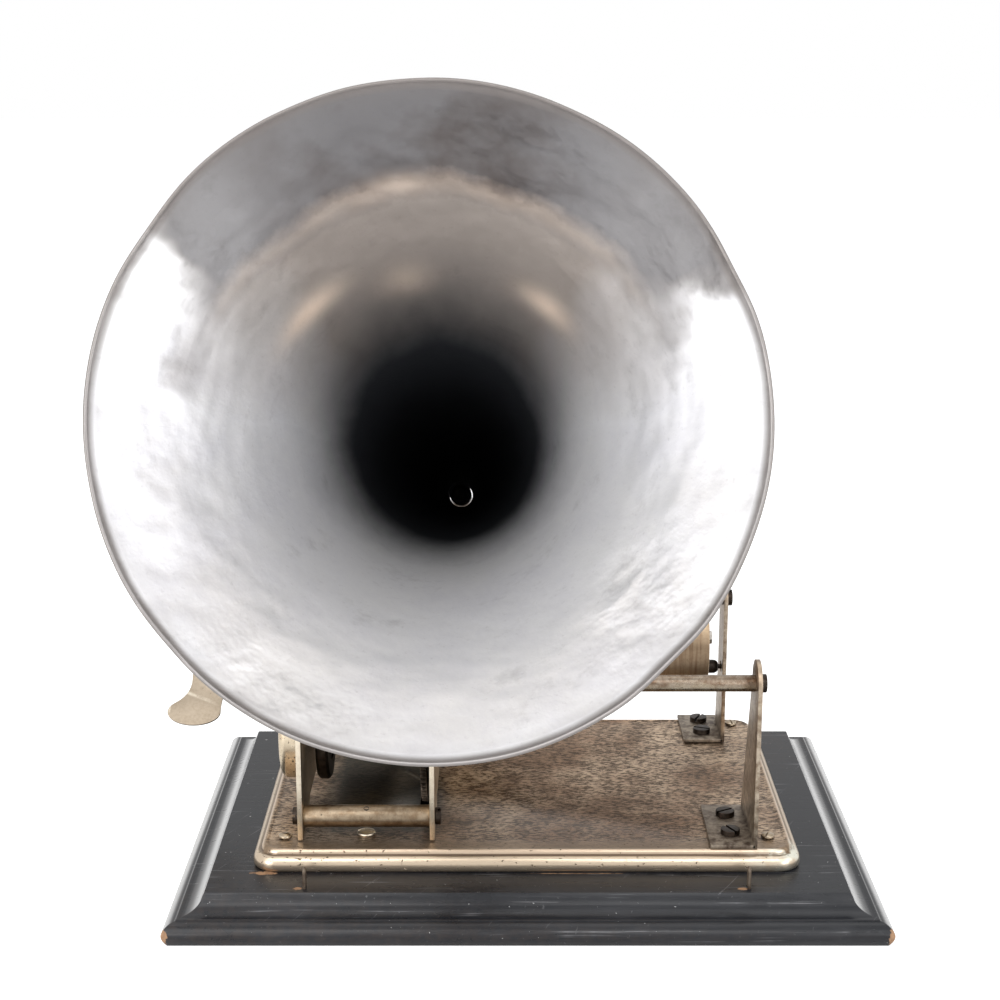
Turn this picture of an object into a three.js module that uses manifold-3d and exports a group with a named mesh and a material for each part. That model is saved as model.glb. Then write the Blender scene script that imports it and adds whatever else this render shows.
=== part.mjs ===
// A small key-wound cylinder phonograph: wooden base, pressed bedplate, spring motor, tapered mandrel,
// feed screw, sliding carriage with reproducer, and a spun aluminium horn.
// Millimetres, +Z up. +X is to the right and -Y towards the listener.
// The origin is the middle of the base's underside.
import * as THREE from "three";
import { mergeVertices } from "three/addons/utils/BufferGeometryUtils.js";
import Module from "manifold-3d";

const wasm = await Module();
wasm.setup();

// Wooden base
const baseWidth = 268;
const baseDepth = 193;
const baseHeight = 15;
const mouldingRun = 14.2;

// Pressed bedplate
const bedWidth = 209;
const bedDepth = 145.8;
const bedHeight = 8;
const bedWall = 1.6;
const bedEdgeInset = 4.4;
const bedCornerRadius = 9;
const bedCornerShare = 0.5;
const bedCentreY = 7.4;

// Shafts and rods, each at its own y and z
const mandrelAxis = { y: 2, z: 86.4 };
const rodHeight = 86.4;
const frontRodY = -52.75;
const rearRodY = 56.75;
const feedAxis = { y: 56, z: 55.3 };
const barrelAxis = { y: 30, z: 64.8 };
const secondAxis = { y: -8, z: 53 };
const governorAxis = { y: -22.1, z: 86.4 };

// Motor plates and pillars
const plateThickness = 2;
const leftPlateX = -87.8;
const rightPlateX = -35.2;
const plateFrontY = -53.9;
const plateRearY = 66;
const plateShoulderZ = 88;
const plateTopZ = 112;
const plateFootWidth = 24;
const plateArchHeight = 6;
const plateEarRadius = 8;
const pillarRadius = 4.3;
const topPillarRadius = 3.5;
const pillarTenonRadius = 2;
const frontPillarAxis = { y: -48.25, z: 30.8 };
const rearPillarAxis = { y: 58, z: 31 };
const topPillarAxis = { y: 26, z: 101.5 };
const oilHoleRadius = 1;

// Gears
const toothModule = 0.8;
const wheelThickness = 2.3;
const barrelTeeth = 78;
const secondPinionTeeth = 21;
const secondTeeth = 75;
const mandrelPinionTeeth = 12;
const mandrelTeeth = 50;
const governorPinionTeeth = 10;
const mandrelFeedTeeth = 20;
const idlerTeeth = 48;
const feedTeeth = 40;
const feedMeshPlay = 0.1;
const feedWheelThickness = 3;
const feedWheelGap = 0.3;
const secondWheelX = -41.3;
const mandrelWheelX = -77.3;
const mandrelWheelThickness = 2;
const pinionOverhang = 0.5;
const studHeadShare = 1.5;

// Spring barrel, mainspring and winding parts
const barrelRadius = 28;
const barrelLength = 23;
const barrelX = -74.6;
const barrelWall = 1.2;
const springStrip = 0.8;
const springTurns = 7;
const springInnerRadius = 9;
const springSideGap = 0.8;
const arborRadius = 3.5;
const arborHubRadius = 7;
const ratchetTeeth = 24;
const ratchetRadius = 12;
const ratchetDepth = 2;
const ratchetThickness = 3;
const clickPivot = { y: 46, z: 78 };
const clickWidth = 3.2;
const clickEyeWall = 1.2;
const clickLift = 0.4;
const clickReach = 1;
const clickNose = 2.5;
const clickBiteShare = 0.65;
const clickThickness = 2.4;
const clickPinRadius = 1.6;

// Winding key
const keyOuterX = -148.6;
const keyWingHalf = 11;
const keyTipRise = 5.8;
const keyReach = 26.6;
const keyThickness = 1.2;
const keyNotchDepth = 9.4;
const keyNeckHalf = 5;
const keyWaistHalf = 6.5;
const keyLean = 40;
const keyHubRadius = 5.5;
const keyHubLength = 13;
const keyHubX = -113;
const keySweepShare = 0.62;

// Second arbor, brake disc and cover
const secondArborRadius = 2.6;
const discRadius = 21.8;
const discThickness = 5;
const discRim = 3;
const discX = -82.9;
const coverRadius = 21.3;
const coverLength = 9.7;
const coverWall = 0.8;
const coverShoulder = 3;

// Governor
const governorArborRadius = 1.5;
const collarRadius = 4;
const collarLength = 5;
const fixedCollarX = -72.5;
const slidingCollarX = -50;
const governorDiscRadius = 12;
const governorDiscThickness = 1.6;
const governorArmCount = 3;
const armBow = 7;
const armStrip = 0.7;
const armWidth = 4;
const weightRadius = 3.4;

// Brake lever
const brakePivot = { y: -36, z: 84 };
const brakePad = { angle: 150, radius: 2.4 };
const brakeKnob = { y: -44, z: 112, radius: 4 };
const leverThickness = 2;
const leverWidth = 5;
const leverX = -81.6;
const leverPinRadius = 1.8;
const leverTipShare = 0.667;

// Mandrel
const mandrelLeftX = -30.5;
const mandrelRightX = 72.3;
const mandrelLeftRadius = 23;
const mandrelRightRadius = 21;
const mandrelWall = 1.5;
const mandrelWeb = 3;
const mandrelWebInset = 4;
const mandrelHubRadius = 7;
const mandrelShaftRadius = 2.6;
const mandrelShaftEnd = 3;

// Rods and the feed screw
const rodRadius = 3.15;
const rodTenonRadius = 2;
const feedScrewRadius = 2.95;
const feedConeLength = 5.6;
const feedTipRadius = 1;

// Brackets that hold the rods' right ends
const bracketFootLeft = 69.8;
const bracketRight = 87.5;
const bracketThickness = 1.6;
const frontHeadRadius = 9;
const frontFootRearY = -22.8;
const rearHeadRadius = 8.55;
const rearFootDepth = 30;
const rearUprightFoot = 23;

// Screws
const screwSlot = 1.1;
const domeRiseShare = 0.6;
const domeShoulderShare = 0.8;
const footScrewHead = { radius: 3.7, height: 2.2 };
const rodScrewHead = { radius: 3.5, height: 2.5 };
const pillarScrewHead = { radius: 3.35, height: 2.2 };
const bedScrewHead = { radius: 2.6, height: 1.3 };
const shankRadius = 1.6;
const shankDepth = 4;
const bedScrewInset = 11.5;
const bedScrewFrontInset = 15.5;
const bedScrewRearInset = 9.3;
const footScrewX = 78.4;
const footScrewPitch = 17.5;
const rearFootScrewPitch = 14;

// Wire eyes that took the lid's hooks
const eyeWire = 0.65;
const eyeWidth = 4.2;
const eyeHeight = 8;
const eyeLeftX = -83;
const eyeRightX = 82.5;
const eyeStandoff = 12;
const eyeRootDepth = 10;

// Carriage, which slides on the rear rod and lifts about it
const carriageX = -25.5;
const sleeveLength = 26;
const sleeveRadius = 5.2;
const sleeveFlangeRadius = 7.5;
const sleeveFlange = 2;
const hubWall = 2.6;
const armPlateWidth = 9;
const armRib = 3;
const armRise = 20.6;
const recordRadius = 28;
const ringRadius = 20.5;
const ringHeight = 8.8;
const footPadLength = 8;
const nutStrip = 2.4;
const nutWidth = 12;
const nutBlockHeight = 11;
const nutWrapShare = 0.3;

// Reproducer and horn
const reproducerY = 6;
const reproducerRadius = 17;
const reproducerHeight = 9.7;
const reproducerFlange = 18.8;
const reproducerFlangeHeight = 1.4;
const reproducerWall = 1.6;
const stylusGap = 0.4;
const stylusReachShare = 0.8;
const stylusHeelShare = 0.2;
const neckRadius = 5.5;
const neckWall = 1;
const neckRise = 5;
const diaphragmThickness = 0.5;
const gasketWidth = 2.2;
const gasketThickness = 1.6;
const retainingRing = 1.8;
const elbowRadius = 4.2;
const elbowBend = 10;
const elbowRise = 10.2;
const elbowReach = 22;
const hornTilt = 16.75;
const hornLength = 343.5;
const hornMouthRadius = 73.2;
const hornWall = 1;
const hornBeadRadius = 1.1;
const hornFlare = 6;
const hornConeShare = 0.45;

// Clearances
const fit = 0.3;
const shaftFit = 0.2;
const overrun = 1;

const hornThroatRadius = elbowRadius + fit;

// Counts of sides on round pieces
const fineSides = 32;
const roundSides = 20;
const smallSides = 10;

const turn = 2 * Math.PI;
const part = new THREE.Group();

const nickel = { color: 0xb3a58c, roughness: 0.38, metalness: 0.9 };
const paleNickel = { color: 0xc9bda0, roughness: 0.35, metalness: 0.9 };
const steel = { color: 0x8d8a84, roughness: 0.35, metalness: 1 };
const blackSteel = { color: 0x25211f, roughness: 0.5, metalness: 0.8 };
const brass = { color: 0xb08d4f, roughness: 0.4, metalness: 0.9 };
const aluminium = { color: 0xcfcfd3, roughness: 0.35, metalness: 1 };
const blackWood = { color: 0x24252a, roughness: 0.5, metalness: 0 };
const mica = { color: 0xd8d0b8, roughness: 0.2, metalness: 0 };
const rubber = { color: 0x2b2624, roughness: 0.8, metalness: 0 };

// A closed mesh as a solid: shared corners merged, slivers dropped, faces turned out.
function toSolid(geometry) {
  const bare = geometry.clone();
  bare.deleteAttribute("normal");
  bare.deleteAttribute("uv");
  const merged = mergeVertices(bare, 1e-4);
  const places = merged.getAttribute("position").array;
  const corners = [];
  let volume = 0;
  for (let i = 0; i < merged.index.count; i += 3) {
    const [a, b, c] = [0, 1, 2].map((k) => merged.index.getX(i + k));
    if (a === b || b === c || c === a) {
      continue;
    }
    const [p, q, r] = [a, b, c].map((k) => new THREE.Vector3().fromArray(places, k * 3));
    volume += p.dot(q.cross(r));
    corners.push(a, b, c);
  }
  if (volume < 0) {
    corners.reverse();
  }
  const vertProperties = new Float32Array(places);
  const triVerts = new Uint32Array(corners);
  return new wasm.Manifold(new wasm.Mesh({ numProp: 3, vertProperties, triVerts }));
}

function toGeometry(solid) {
  const mesh = solid.getMesh();
  const geometry = new THREE.BufferGeometry();
  geometry.setAttribute("position", new THREE.BufferAttribute(new Float32Array(mesh.vertProperties), 3));
  geometry.setIndex(new THREE.BufferAttribute(new Uint32Array(mesh.triVerts), 1));
  geometry.computeVertexNormals();
  return geometry;
}

function joined(first, ...others) {
  return others.reduce((sum, next) => sum.add(next), first);
}

function cut(first, ...others) {
  return others.reduce((rest, next) => rest.subtract(next), first);
}

// Adds a solid to the part as a named mesh; place holds x, y, z and turns about them.
function piece(name, solid, look, place = {}) {
  const mesh = new THREE.Mesh(toGeometry(solid), new THREE.MeshStandardMaterial(look));
  mesh.name = name;
  mesh.position.set(place.x ?? 0, place.y ?? 0, place.z ?? 0);
  mesh.rotation.set(place.turnX ?? 0, place.turnY ?? 0, place.turnZ ?? 0);
  part.add(mesh);
}

// Puts a shape's x and y along Y and Z, and its extrusion along X.
const alongX = new THREE.Matrix4().makeBasis(
  new THREE.Vector3(0, 1, 0),
  new THREE.Vector3(0, 0, 1),
  new THREE.Vector3(1, 0, 0),
);

// Puts a turned profile's axis along X.
const axisToX = new THREE.Matrix4().makeBasis(
  new THREE.Vector3(0, 0, 1),
  new THREE.Vector3(1, 0, 0),
  new THREE.Vector3(0, 1, 0),
);

// A profile of [radius, distance along the axis] points, turned about X.
function turnedX(profile, sides = roundSides) {
  const points = profile.map(([radius, along]) => new THREE.Vector2(radius, along));
  return toSolid(new THREE.LatheGeometry(points, sides).applyMatrix4(axisToX));
}

// The same, turned about Z.
function turnedZ(profile, sides = roundSides) {
  const points = profile.map(([radius, along]) => new THREE.Vector2(radius, along));
  return toSolid(new THREE.LatheGeometry(points, sides).rotateX(Math.PI / 2));
}

function rodProfile(radius, from, to) {
  return [[0, from], [radius, from], [radius, to], [0, to]];
}

function tubeProfile(outer, inner, from, to) {
  return [[inner, from], [outer, from], [outer, to], [inner, to], [inner, from]];
}

function rodX(radius, from, to, sides = smallSides) {
  return turnedX(rodProfile(radius, from, to), sides);
}

function tubeX(outer, inner, from, to, sides = roundSides) {
  return turnedX(tubeProfile(outer, inner, from, to), sides);
}

function outline(points) {
  return new THREE.Shape(points.map(([across, up]) => new THREE.Vector2(across, up)));
}

// A flat outline in Y and Z, with a thickness along X.
function plateX(shape, from, to, curveSegments = smallSides) {
  const options = { depth: to - from, bevelEnabled: false, curveSegments };
  const geometry = new THREE.ExtrudeGeometry(shape, options).applyMatrix4(alongX);
  return toSolid(geometry.translate(from, 0, 0));
}

function block(x0, x1, y0, y1, z0, z1) {
  const geometry = new THREE.BoxGeometry(x1 - x0, y1 - y0, z1 - z0);
  return toSolid(geometry.translate((x0 + x1) / 2, (y0 + y1) / 2, (z0 + z1) / 2));
}

function moved(solid, x, y, z) {
  return solid.translate([x, y, z]);
}

// A solid through a stack of closed rings of equal counts, capped at both ends.
function throughRings(rings) {
  const count = rings[0].length;
  const places = rings.flat(2);
  const corners = [];
  for (let r = 0; r + 1 < rings.length; r += 1) {
    for (let i = 0; i < count; i += 1) {
      const next = (i + 1) % count;
      const [a, b] = [r * count + i, r * count + next];
      corners.push(a, b, b + count, a, b + count, a + count);
    }
  }
  const last = (rings.length - 1) * count;
  for (let i = 1; i + 1 < count; i += 1) {
    corners.push(0, i + 1, i, last, last + i, last + i + 1);
  }
  const geometry = new THREE.BufferGeometry();
  geometry.setAttribute("position", new THREE.Float32BufferAttribute(places, 3));
  geometry.setIndex(corners);
  return toSolid(geometry);
}

// A rectangle with round corners, as a ring of points at one height.
function roundedRing(halfX, halfY, radius, z, steps) {
  const ring = [];
  for (const [signX, signY, start] of [[1, 1, 0], [-1, 1, 1], [-1, -1, 2], [1, -1, 3]]) {
    for (let i = 0; i <= steps; i += 1) {
      const angle = (start + i / steps) * turn / 4;
      const x = signX * (halfX - radius) + radius * Math.cos(angle);
      const y = signY * (halfY - radius) + radius * Math.sin(angle);
      ring.push([x, y, z]);
    }
  }
  return ring;
}

// A slotted screw: head above zero, shank below it.
function slottedScrew(head, shankLength, domed = false) {
  const rise = domed ? head.height * domeRiseShare : head.height;
  const crown = domed ? [[head.radius * domeShoulderShare, head.height]] : [];
  const solid = turnedZ([
    [0, -shankLength], [shankRadius, -shankLength], [shankRadius, 0],
    [head.radius, 0], [head.radius, rise], ...crown, [0, head.height],
  ], smallSides);
  const [half, reach] = [screwSlot / 2, head.radius + overrun];
  return cut(solid, block(-half, half, -reach, reach, head.height / 2, head.height + overrun));
}

const flankShares = { tip: 0.27, pitch: 0.6, root: 0.8, outer: 0.9, inner: 1.2 };

function gearRadii(teeth) {
  const pitch = toothModule * teeth / 2;
  return {
    pitch,
    tip: pitch + toothModule * flankShares.outer,
    root: pitch - toothModule * flankShares.inner,
  };
}

// A toothed wheel about X; turned is the angle of one tooth's middle, from Y towards Z.
function gear(teeth, from, to, bore, turned, slim = false) {
  const { pitch, tip, root } = gearRadii(teeth);
  const shape = new THREE.Shape();
  const rootHalf = toothModule * (slim ? flankShares.pitch : flankShares.root) / root;
  const pitchHalf = toothModule * flankShares.pitch / pitch;
  const tipHalf = toothModule * flankShares.tip / tip;
  const corners = [[root, -rootHalf], [tip, -tipHalf], [tip, tipHalf], [root, rootHalf]];
  if (slim) {
    corners.splice(1, 0, [pitch, -pitchHalf]);
    corners.splice(4, 0, [pitch, pitchHalf]);
  }
  for (let i = 0; i < teeth; i += 1) {
    for (const [radius, offset] of corners) {
      const angle = turned + i * turn / teeth + offset;
      const point = [radius * Math.cos(angle), radius * Math.sin(angle)];
      if (shape.curves.length === 0 && i === 0 && offset === -rootHalf) {
        shape.moveTo(...point);
      } else {
        shape.lineTo(...point);
      }
    }
  }
  const blank = plateX(shape, from, to);
  return bore > 0 ? cut(blank, rodX(bore, from - overrun, to + overrun)) : blank;
}

// The turn that meshes a second gear with the first, for the two centres' direction.
function meshedTurn(firstTurn, firstTeeth, secondTeethCount, first, second) {
  const direction = Math.atan2(second.z - first.z, second.y - first.y);
  const phase = (direction - firstTurn) * firstTeeth / turn;
  return direction + Math.PI - (0.5 - phase) * turn / secondTeethCount;
}

function between(first, second) {
  return Math.hypot(second.y - first.y, second.z - first.z);
}

const bedTop = baseHeight + bedHeight;
const bedFrontY = bedCentreY - bedDepth / 2;
const bedRearY = bedCentreY + bedDepth / 2;
const eyeY = bedFrontY - eyeStandoff;
const eyeLegOffset = eyeWidth / 2 - eyeWire;
const frontRodAxis = { y: frontRodY, z: rodHeight };
const rearRodAxis = { y: rearRodY, z: rodHeight };
const leftInner = leftPlateX + plateThickness;
const rightInner = rightPlateX - plateThickness;
const barrelRight = barrelX + barrelLength;
const feedWheelX = rightPlateX + feedWheelGap;

// The idler stands where it meshes with both the mandrel's gear and the screw's gear.
function idlerPlace() {
  const toMandrel = toothModule * (mandrelFeedTeeth + idlerTeeth) / 2 + feedMeshPlay;
  const toScrew = toothModule * (idlerTeeth + feedTeeth) / 2 + feedMeshPlay;
  const span = between(mandrelAxis, feedAxis);
  const along = (toMandrel ** 2 - toScrew ** 2 + span ** 2) / (2 * span);
  const aside = Math.sqrt(Math.max(toMandrel ** 2 - along ** 2, 0));
  const [dy, dz] = [(feedAxis.y - mandrelAxis.y) / span, (feedAxis.z - mandrelAxis.z) / span];
  return {
    y: mandrelAxis.y + along * dy + aside * dz,
    z: mandrelAxis.z + along * dz - aside * dy,
  };
}
const idlerAxis = idlerPlace();

// Moulding of the base from its top edge down: shares of its run outwards and of its height down
const mouldingShares = [
  [0, 0], [0.13, 0.25], [0.29, 0.37], [0.49, 0.42], [0.67, 0.42],
  [0.8, 0.47], [0.96, 0.57], [1, 0.69], [0.96, 0.85], [0.88, 1],
];

// The moulded base, drilled for the legs of the two wire eyes
function woodenBase() {
  const [halfX, halfY] = [baseWidth / 2 - mouldingRun, baseDepth / 2 - mouldingRun];
  const rings = mouldingShares.map(([out, down]) => {
    const [x, y] = [halfX + out * mouldingRun, halfY + out * mouldingRun];
    const z = baseHeight * (1 - down);
    return [[x, y, z], [-x, y, z], [-x, -y, z], [x, -y, z]];
  });
  const drill = rodProfile(eyeWire + shaftFit, baseHeight - eyeRootDepth - fit, baseHeight + overrun);
  const holes = [eyeLeftX, eyeRightX].flatMap((x) => [-eyeLegOffset, eyeLegOffset].map((off) => {
    return moved(turnedZ(drill, smallSides), x, eyeY + off, 0);
  }));
  return cut(throughRings(rings), ...holes);
}

// Section of the bedplate's rim from the bottom up: shares of its edge inset and of its height
const bedRimShares = [
  [0.2, 0], [0, 0.12], [0, 0.42], [0.14, 0.6], [0.44, 0.72], [0.66, 0.75], [0.76, 0.94], [1, 1],
];

function bedplate() {
  const [halfX, halfY] = [bedWidth / 2, bedDepth / 2];
  const steps = 4;
  const ringAt = (inset, z) => {
    const radius = bedCornerRadius - inset * bedCornerShare;
    return roundedRing(halfX - inset, halfY - inset, radius, z, steps);
  };
  const innerInset = bedEdgeInset + bedWall;
  const ceiling = bedHeight - bedWall;
  const rings = [ringAt(innerInset, ceiling), ringAt(innerInset, 0)];
  for (const [inset, up] of bedRimShares) {
    rings.push(ringAt(inset * bedEdgeInset, up * bedHeight));
  }
  const shell = throughRings(rings);
  const holes = screwPlaces().map(({ x, y }) => {
    const drill = turnedZ(rodProfile(shankRadius + shaftFit, -overrun, bedHeight + overrun), smallSides);
    return moved(drill, x, y - bedCentreY, 0);
  });
  const { tip } = gearRadii(secondTeeth);
  const dip = bedTop - (secondAxis.z - tip) + fit;
  const slotHalf = Math.sqrt(tip ** 2 - (tip - dip) ** 2) + overrun;
  const slotY = secondAxis.y - bedCentreY;
  const slot = block(
    secondWheelX - overrun, secondWheelX + wheelThickness + overrun,
    slotY - slotHalf, slotY + slotHalf, -overrun, bedHeight + overrun,
  );
  return cut(shell, slot, ...holes);
}

function bracketScrewPlaces() {
  const frontMiddle = (frontRodY - frontHeadRadius + frontFootRearY) / 2;
  const rearMiddle = rearRodY - rearHeadRadius + rearFootDepth / 2;
  return [
    { x: footScrewX, y: frontMiddle - footScrewPitch / 2 },
    { x: footScrewX, y: frontMiddle + footScrewPitch / 2 },
    { x: footScrewX, y: rearMiddle - rearFootScrewPitch / 2 },
    { x: footScrewX, y: rearMiddle + rearFootScrewPitch / 2 },
  ];
}

function bedScrewPlaces() {
  const side = bedWidth / 2 - bedScrewInset;
  const front = bedFrontY + bedScrewFrontInset;
  const rear = bedRearY - bedScrewRearInset;
  return [{ x: -side, y: front }, { x: side, y: front }, { x: -side, y: rear }, { x: side, y: rear }];
}

function screwPlaces() {
  return [...bracketScrewPlaces(), ...bedScrewPlaces()];
}

function addBase() {
  piece("wooden_base", woodenBase(), blackWood);
  piece("bedplate", bedplate(), nickel, { y: bedCentreY, z: baseHeight });
  bedScrewPlaces().forEach(({ x, y }, i) => {
    const solid = slottedScrew(bedScrewHead, bedHeight - fit, true);
    piece(`bed_screw_${i + 1}`, solid, nickel, { x, y, z: bedTop });
  });
  piece("lid_eye_left", lidEye(), nickel, { x: eyeLeftX, y: eyeY, z: baseHeight });
  piece("lid_eye_right", lidEye(), nickel, { x: eyeRightX, y: eyeY, z: baseHeight });
}

// A wire staple with its legs in the base, one behind the other
function lidEye() {
  const radius = eyeLegOffset;
  const stem = eyeHeight - eyeWire - radius;
  const route = [new THREE.Vector3(0, -radius, -eyeRootDepth), new THREE.Vector3(0, -radius, stem / 2)];
  const bends = 6;
  for (let i = 0; i <= bends; i += 1) {
    const angle = Math.PI * (1 - i / bends);
    route.push(new THREE.Vector3(0, radius * Math.cos(angle), stem + radius * Math.sin(angle)));
  }
  route.push(new THREE.Vector3(0, radius, stem / 2), new THREE.Vector3(0, radius, -eyeRootDepth));
  return tubeAlong(route, eyeWire, 0, 24, 6);
}

// A round tube, or a wire where the bore is nil, along a smooth route.
function tubeAlong(route, radius, bore, steps, sides) {
  const section = new THREE.Shape();
  section.absarc(0, 0, radius, 0, turn);
  if (bore > 0) {
    const hole = new THREE.Path();
    hole.absarc(0, 0, bore, 0, turn);
    section.holes.push(hole);
  }
  const extrudePath = new THREE.CatmullRomCurve3(route, false, "centripetal");
  return toSolid(new THREE.ExtrudeGeometry(section, { extrudePath, steps, curveSegments: sides / 2 }));
}

// A motor plate's outline: two feet, an arch between them and a round top.
function plateShape() {
  const half = (plateRearY - plateFrontY) / 2;
  const rise = plateTopZ - plateShoulderZ;
  const radius = (half ** 2 + rise ** 2) / (2 * rise);
  const middle = plateFrontY + half;
  const sweep = Math.asin(half / radius);
  const shape = new THREE.Shape();
  shape.moveTo(plateFrontY, bedTop);
  shape.lineTo(plateFrontY + plateFootWidth, bedTop);
  shape.lineTo(plateFrontY + plateFootWidth + plateArchHeight, bedTop + plateArchHeight);
  shape.lineTo(plateRearY - plateFootWidth - plateArchHeight, bedTop + plateArchHeight);
  shape.lineTo(plateRearY - plateFootWidth, bedTop);
  shape.lineTo(plateRearY, bedTop);
  shape.absarc(middle, plateTopZ - radius, radius, Math.PI / 2 - sweep, Math.PI / 2 + sweep);
  return shape;
}

function motorPlate(from, bores, ears) {
  const to = from + plateThickness;
  const plate = plateX(plateShape(), from, to);
  const lobes = ears.flatMap(({ y, z }) => {
    const inner = y - Math.sign(y) * plateEarRadius;
    const web = block(from, to, Math.min(y, inner), Math.max(y, inner), bedTop, z);
    return [moved(rodX(plateEarRadius, from, to, roundSides), 0, y, z), web];
  });
  const holes = bores.map(({ y, z, radius }) => {
    return moved(rodX(radius + shaftFit, from - overrun, to + overrun), 0, y, z);
  });
  return cut(joined(plate, ...lobes), ...holes);
}

function addPlates() {
  const shared = [
    { ...frontPillarAxis, radius: shankRadius },
    { ...rearPillarAxis, radius: pillarTenonRadius },
    { ...topPillarAxis, radius: pillarTenonRadius },
    { ...secondAxis, radius: secondArborRadius },
    { ...mandrelAxis, radius: mandrelShaftRadius },
    { ...governorAxis, radius: governorArborRadius },
    { ...barrelAxis, radius: arborRadius },
  ];
  const leftOnly = [
    { ...brakePivot, radius: leverPinRadius },
    { ...clickPivot, radius: clickPinRadius },
  ];
  const rightOnly = [
    { ...frontRodAxis, radius: rodTenonRadius },
    { ...rearRodAxis, radius: rodTenonRadius },
    { ...feedAxis, radius: rodTenonRadius },
    { ...idlerAxis, radius: pillarTenonRadius },
  ];
  piece("motor_plate_left", motorPlate(leftPlateX, [...shared, ...leftOnly], []), nickel);
  const ears = [frontRodAxis, rearRodAxis];
  piece("motor_plate_right", motorPlate(rightInner, [...shared, ...rightOnly], ears), nickel);
}

function rivetedPillar(radius) {
  const profile = [
    [0, leftPlateX], [pillarTenonRadius, leftPlateX], [pillarTenonRadius, leftInner],
    [radius, leftInner], [radius, rightInner], [pillarTenonRadius, rightInner],
    [pillarTenonRadius, rightPlateX], [0, rightPlateX],
  ];
  return turnedX(profile, smallSides);
}

function frontPillar() {
  const tube = tubeX(pillarRadius, shankRadius + shaftFit, leftInner, rightInner, 24);
  const middle = (leftInner + rightInner) / 2;
  const drill = turnedZ(rodProfile(oilHoleRadius, 0, pillarRadius + overrun), 8);
  return cut(tube, moved(drill, middle, 0, 0));
}

function addPillars() {
  piece("front_pillar", frontPillar(), nickel, frontPillarAxis);
  const screw = slottedScrew(pillarScrewHead, plateThickness + shankDepth);
  piece("pillar_screw_left", screw, blackSteel, {
    ...frontPillarAxis, x: leftPlateX, turnX: turn / 8, turnY: -Math.PI / 2,
  });
  piece("pillar_screw_right", screw, blackSteel, {
    ...frontPillarAxis, x: rightPlateX, turnX: turn / 8, turnY: Math.PI / 2,
  });
  piece("rear_pillar", rivetedPillar(pillarRadius), nickel, rearPillarAxis);
  piece("top_pillar", rivetedPillar(topPillarRadius), nickel, topPillarAxis);
}

// The deep-drawn cup over the second arbor's left end
function arborCover() {
  const [far, inner] = [leftPlateX - coverLength, coverRadius - coverWall];
  const arcSteps = 3;
  const arc = [...Array(arcSteps + 1).keys()].map((i) => {
    const angle = i / arcSteps * turn / 4;
    const [out, back] = [Math.sin(angle), 1 - Math.cos(angle)];
    return [coverRadius - coverShoulder + coverShoulder * out, far + coverShoulder * back];
  });
  const innerArc = arc.map(([r, x]) => [Math.min(r, inner), x + coverWall]).reverse();
  const rim = [[coverRadius, leftPlateX], [inner, leftPlateX]];
  return turnedX([[0, far], ...arc, ...rim, ...innerArc, [0, far + coverWall]], fineSides);
}

function windingArbor() {
  const hubFrom = barrelX + barrelWall + springSideGap;
  const hubTo = barrelRight - springSideGap;
  const profile = [
    [0, keyHubX + overrun], [arborRadius, keyHubX + overrun], [arborRadius, hubFrom],
    [arborHubRadius, hubFrom], [arborHubRadius, hubTo], [arborRadius, hubTo],
    [arborRadius, rightPlateX], [0, rightPlateX],
  ];
  return turnedX(profile, 24);
}

const ratchetX = leftPlateX - fit - ratchetThickness;

function ratchet(faceTurn) {
  const shape = new THREE.Shape();
  for (let i = 0; i < ratchetTeeth; i += 1) {
    const angle = faceTurn + i * turn / ratchetTeeth;
    const [high, low] = [ratchetRadius, ratchetRadius - ratchetDepth];
    const tip = [high * Math.cos(angle), high * Math.sin(angle)];
    const foot = [low * Math.cos(angle), low * Math.sin(angle)];
    if (i === 0) {
      shape.moveTo(...foot);
    } else {
      shape.lineTo(...foot);
    }
    shape.lineTo(...tip);
  }
  const blank = plateX(shape, ratchetX, ratchetX + ratchetThickness);
  return cut(blank, rodX(arborRadius + shaftFit, ratchetX - overrun, leftPlateX, 24));
}

// The butterfly key: a sleeve on the arbor and a flat sheet with two fanned wings, its lower one forward
function windingKey() {
  const wingX = keyOuterX + keyWingHalf;
  const wingOff = keyReach - keyTipRise;
  const hubEnd = keyHubX + keyHubLength;
  const sweep = turn * keySweepShare;
  const waistX = keyOuterX + keyNotchDepth;
  const wingEnd = [wingX + keyWingHalf * Math.cos(sweep), wingOff + keyTipRise * Math.sin(sweep)];
  const slope = (keyTipRise * Math.cos(sweep)) / (-keyWingHalf * Math.sin(sweep));
  const pullOff = wingEnd[1] + slope * (waistX - wingEnd[0]);
  const shape = new THREE.Shape();
  shape.moveTo(keyHubX, -keyNeckHalf);
  shape.quadraticCurveTo(wingX + keyWingHalf, -keyNeckHalf, wingX + keyWingHalf, -wingOff);
  shape.absellipse(wingX, -wingOff, keyWingHalf, keyTipRise, 0, -sweep, true);
  shape.quadraticCurveTo(waistX, -pullOff, waistX, -keyWaistHalf);
  shape.lineTo(waistX, keyWaistHalf);
  shape.quadraticCurveTo(waistX, pullOff, ...wingEnd);
  shape.absellipse(wingX, wingOff, keyWingHalf, keyTipRise, sweep, 0, true);
  shape.quadraticCurveTo(wingX + keyWingHalf, keyNeckHalf, keyHubX, keyNeckHalf);
  const options = { depth: keyThickness, bevelEnabled: false, curveSegments: smallSides };
  const flat = new THREE.ExtrudeGeometry(shape, options).rotateX(Math.PI / 2);
  const plate = toSolid(flat.translate(0, keyThickness / 2, 0)).rotate([-keyLean, 0, 0]);
  const sleeve = rodX(keyHubRadius, keyHubX - overrun, hubEnd, 24);
  const bore = rodX(arborRadius + shaftFit, keyHubX + overrun - shaftFit, hubEnd + overrun, 24);
  return cut(joined(plate, sleeve), bore);
}

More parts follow.
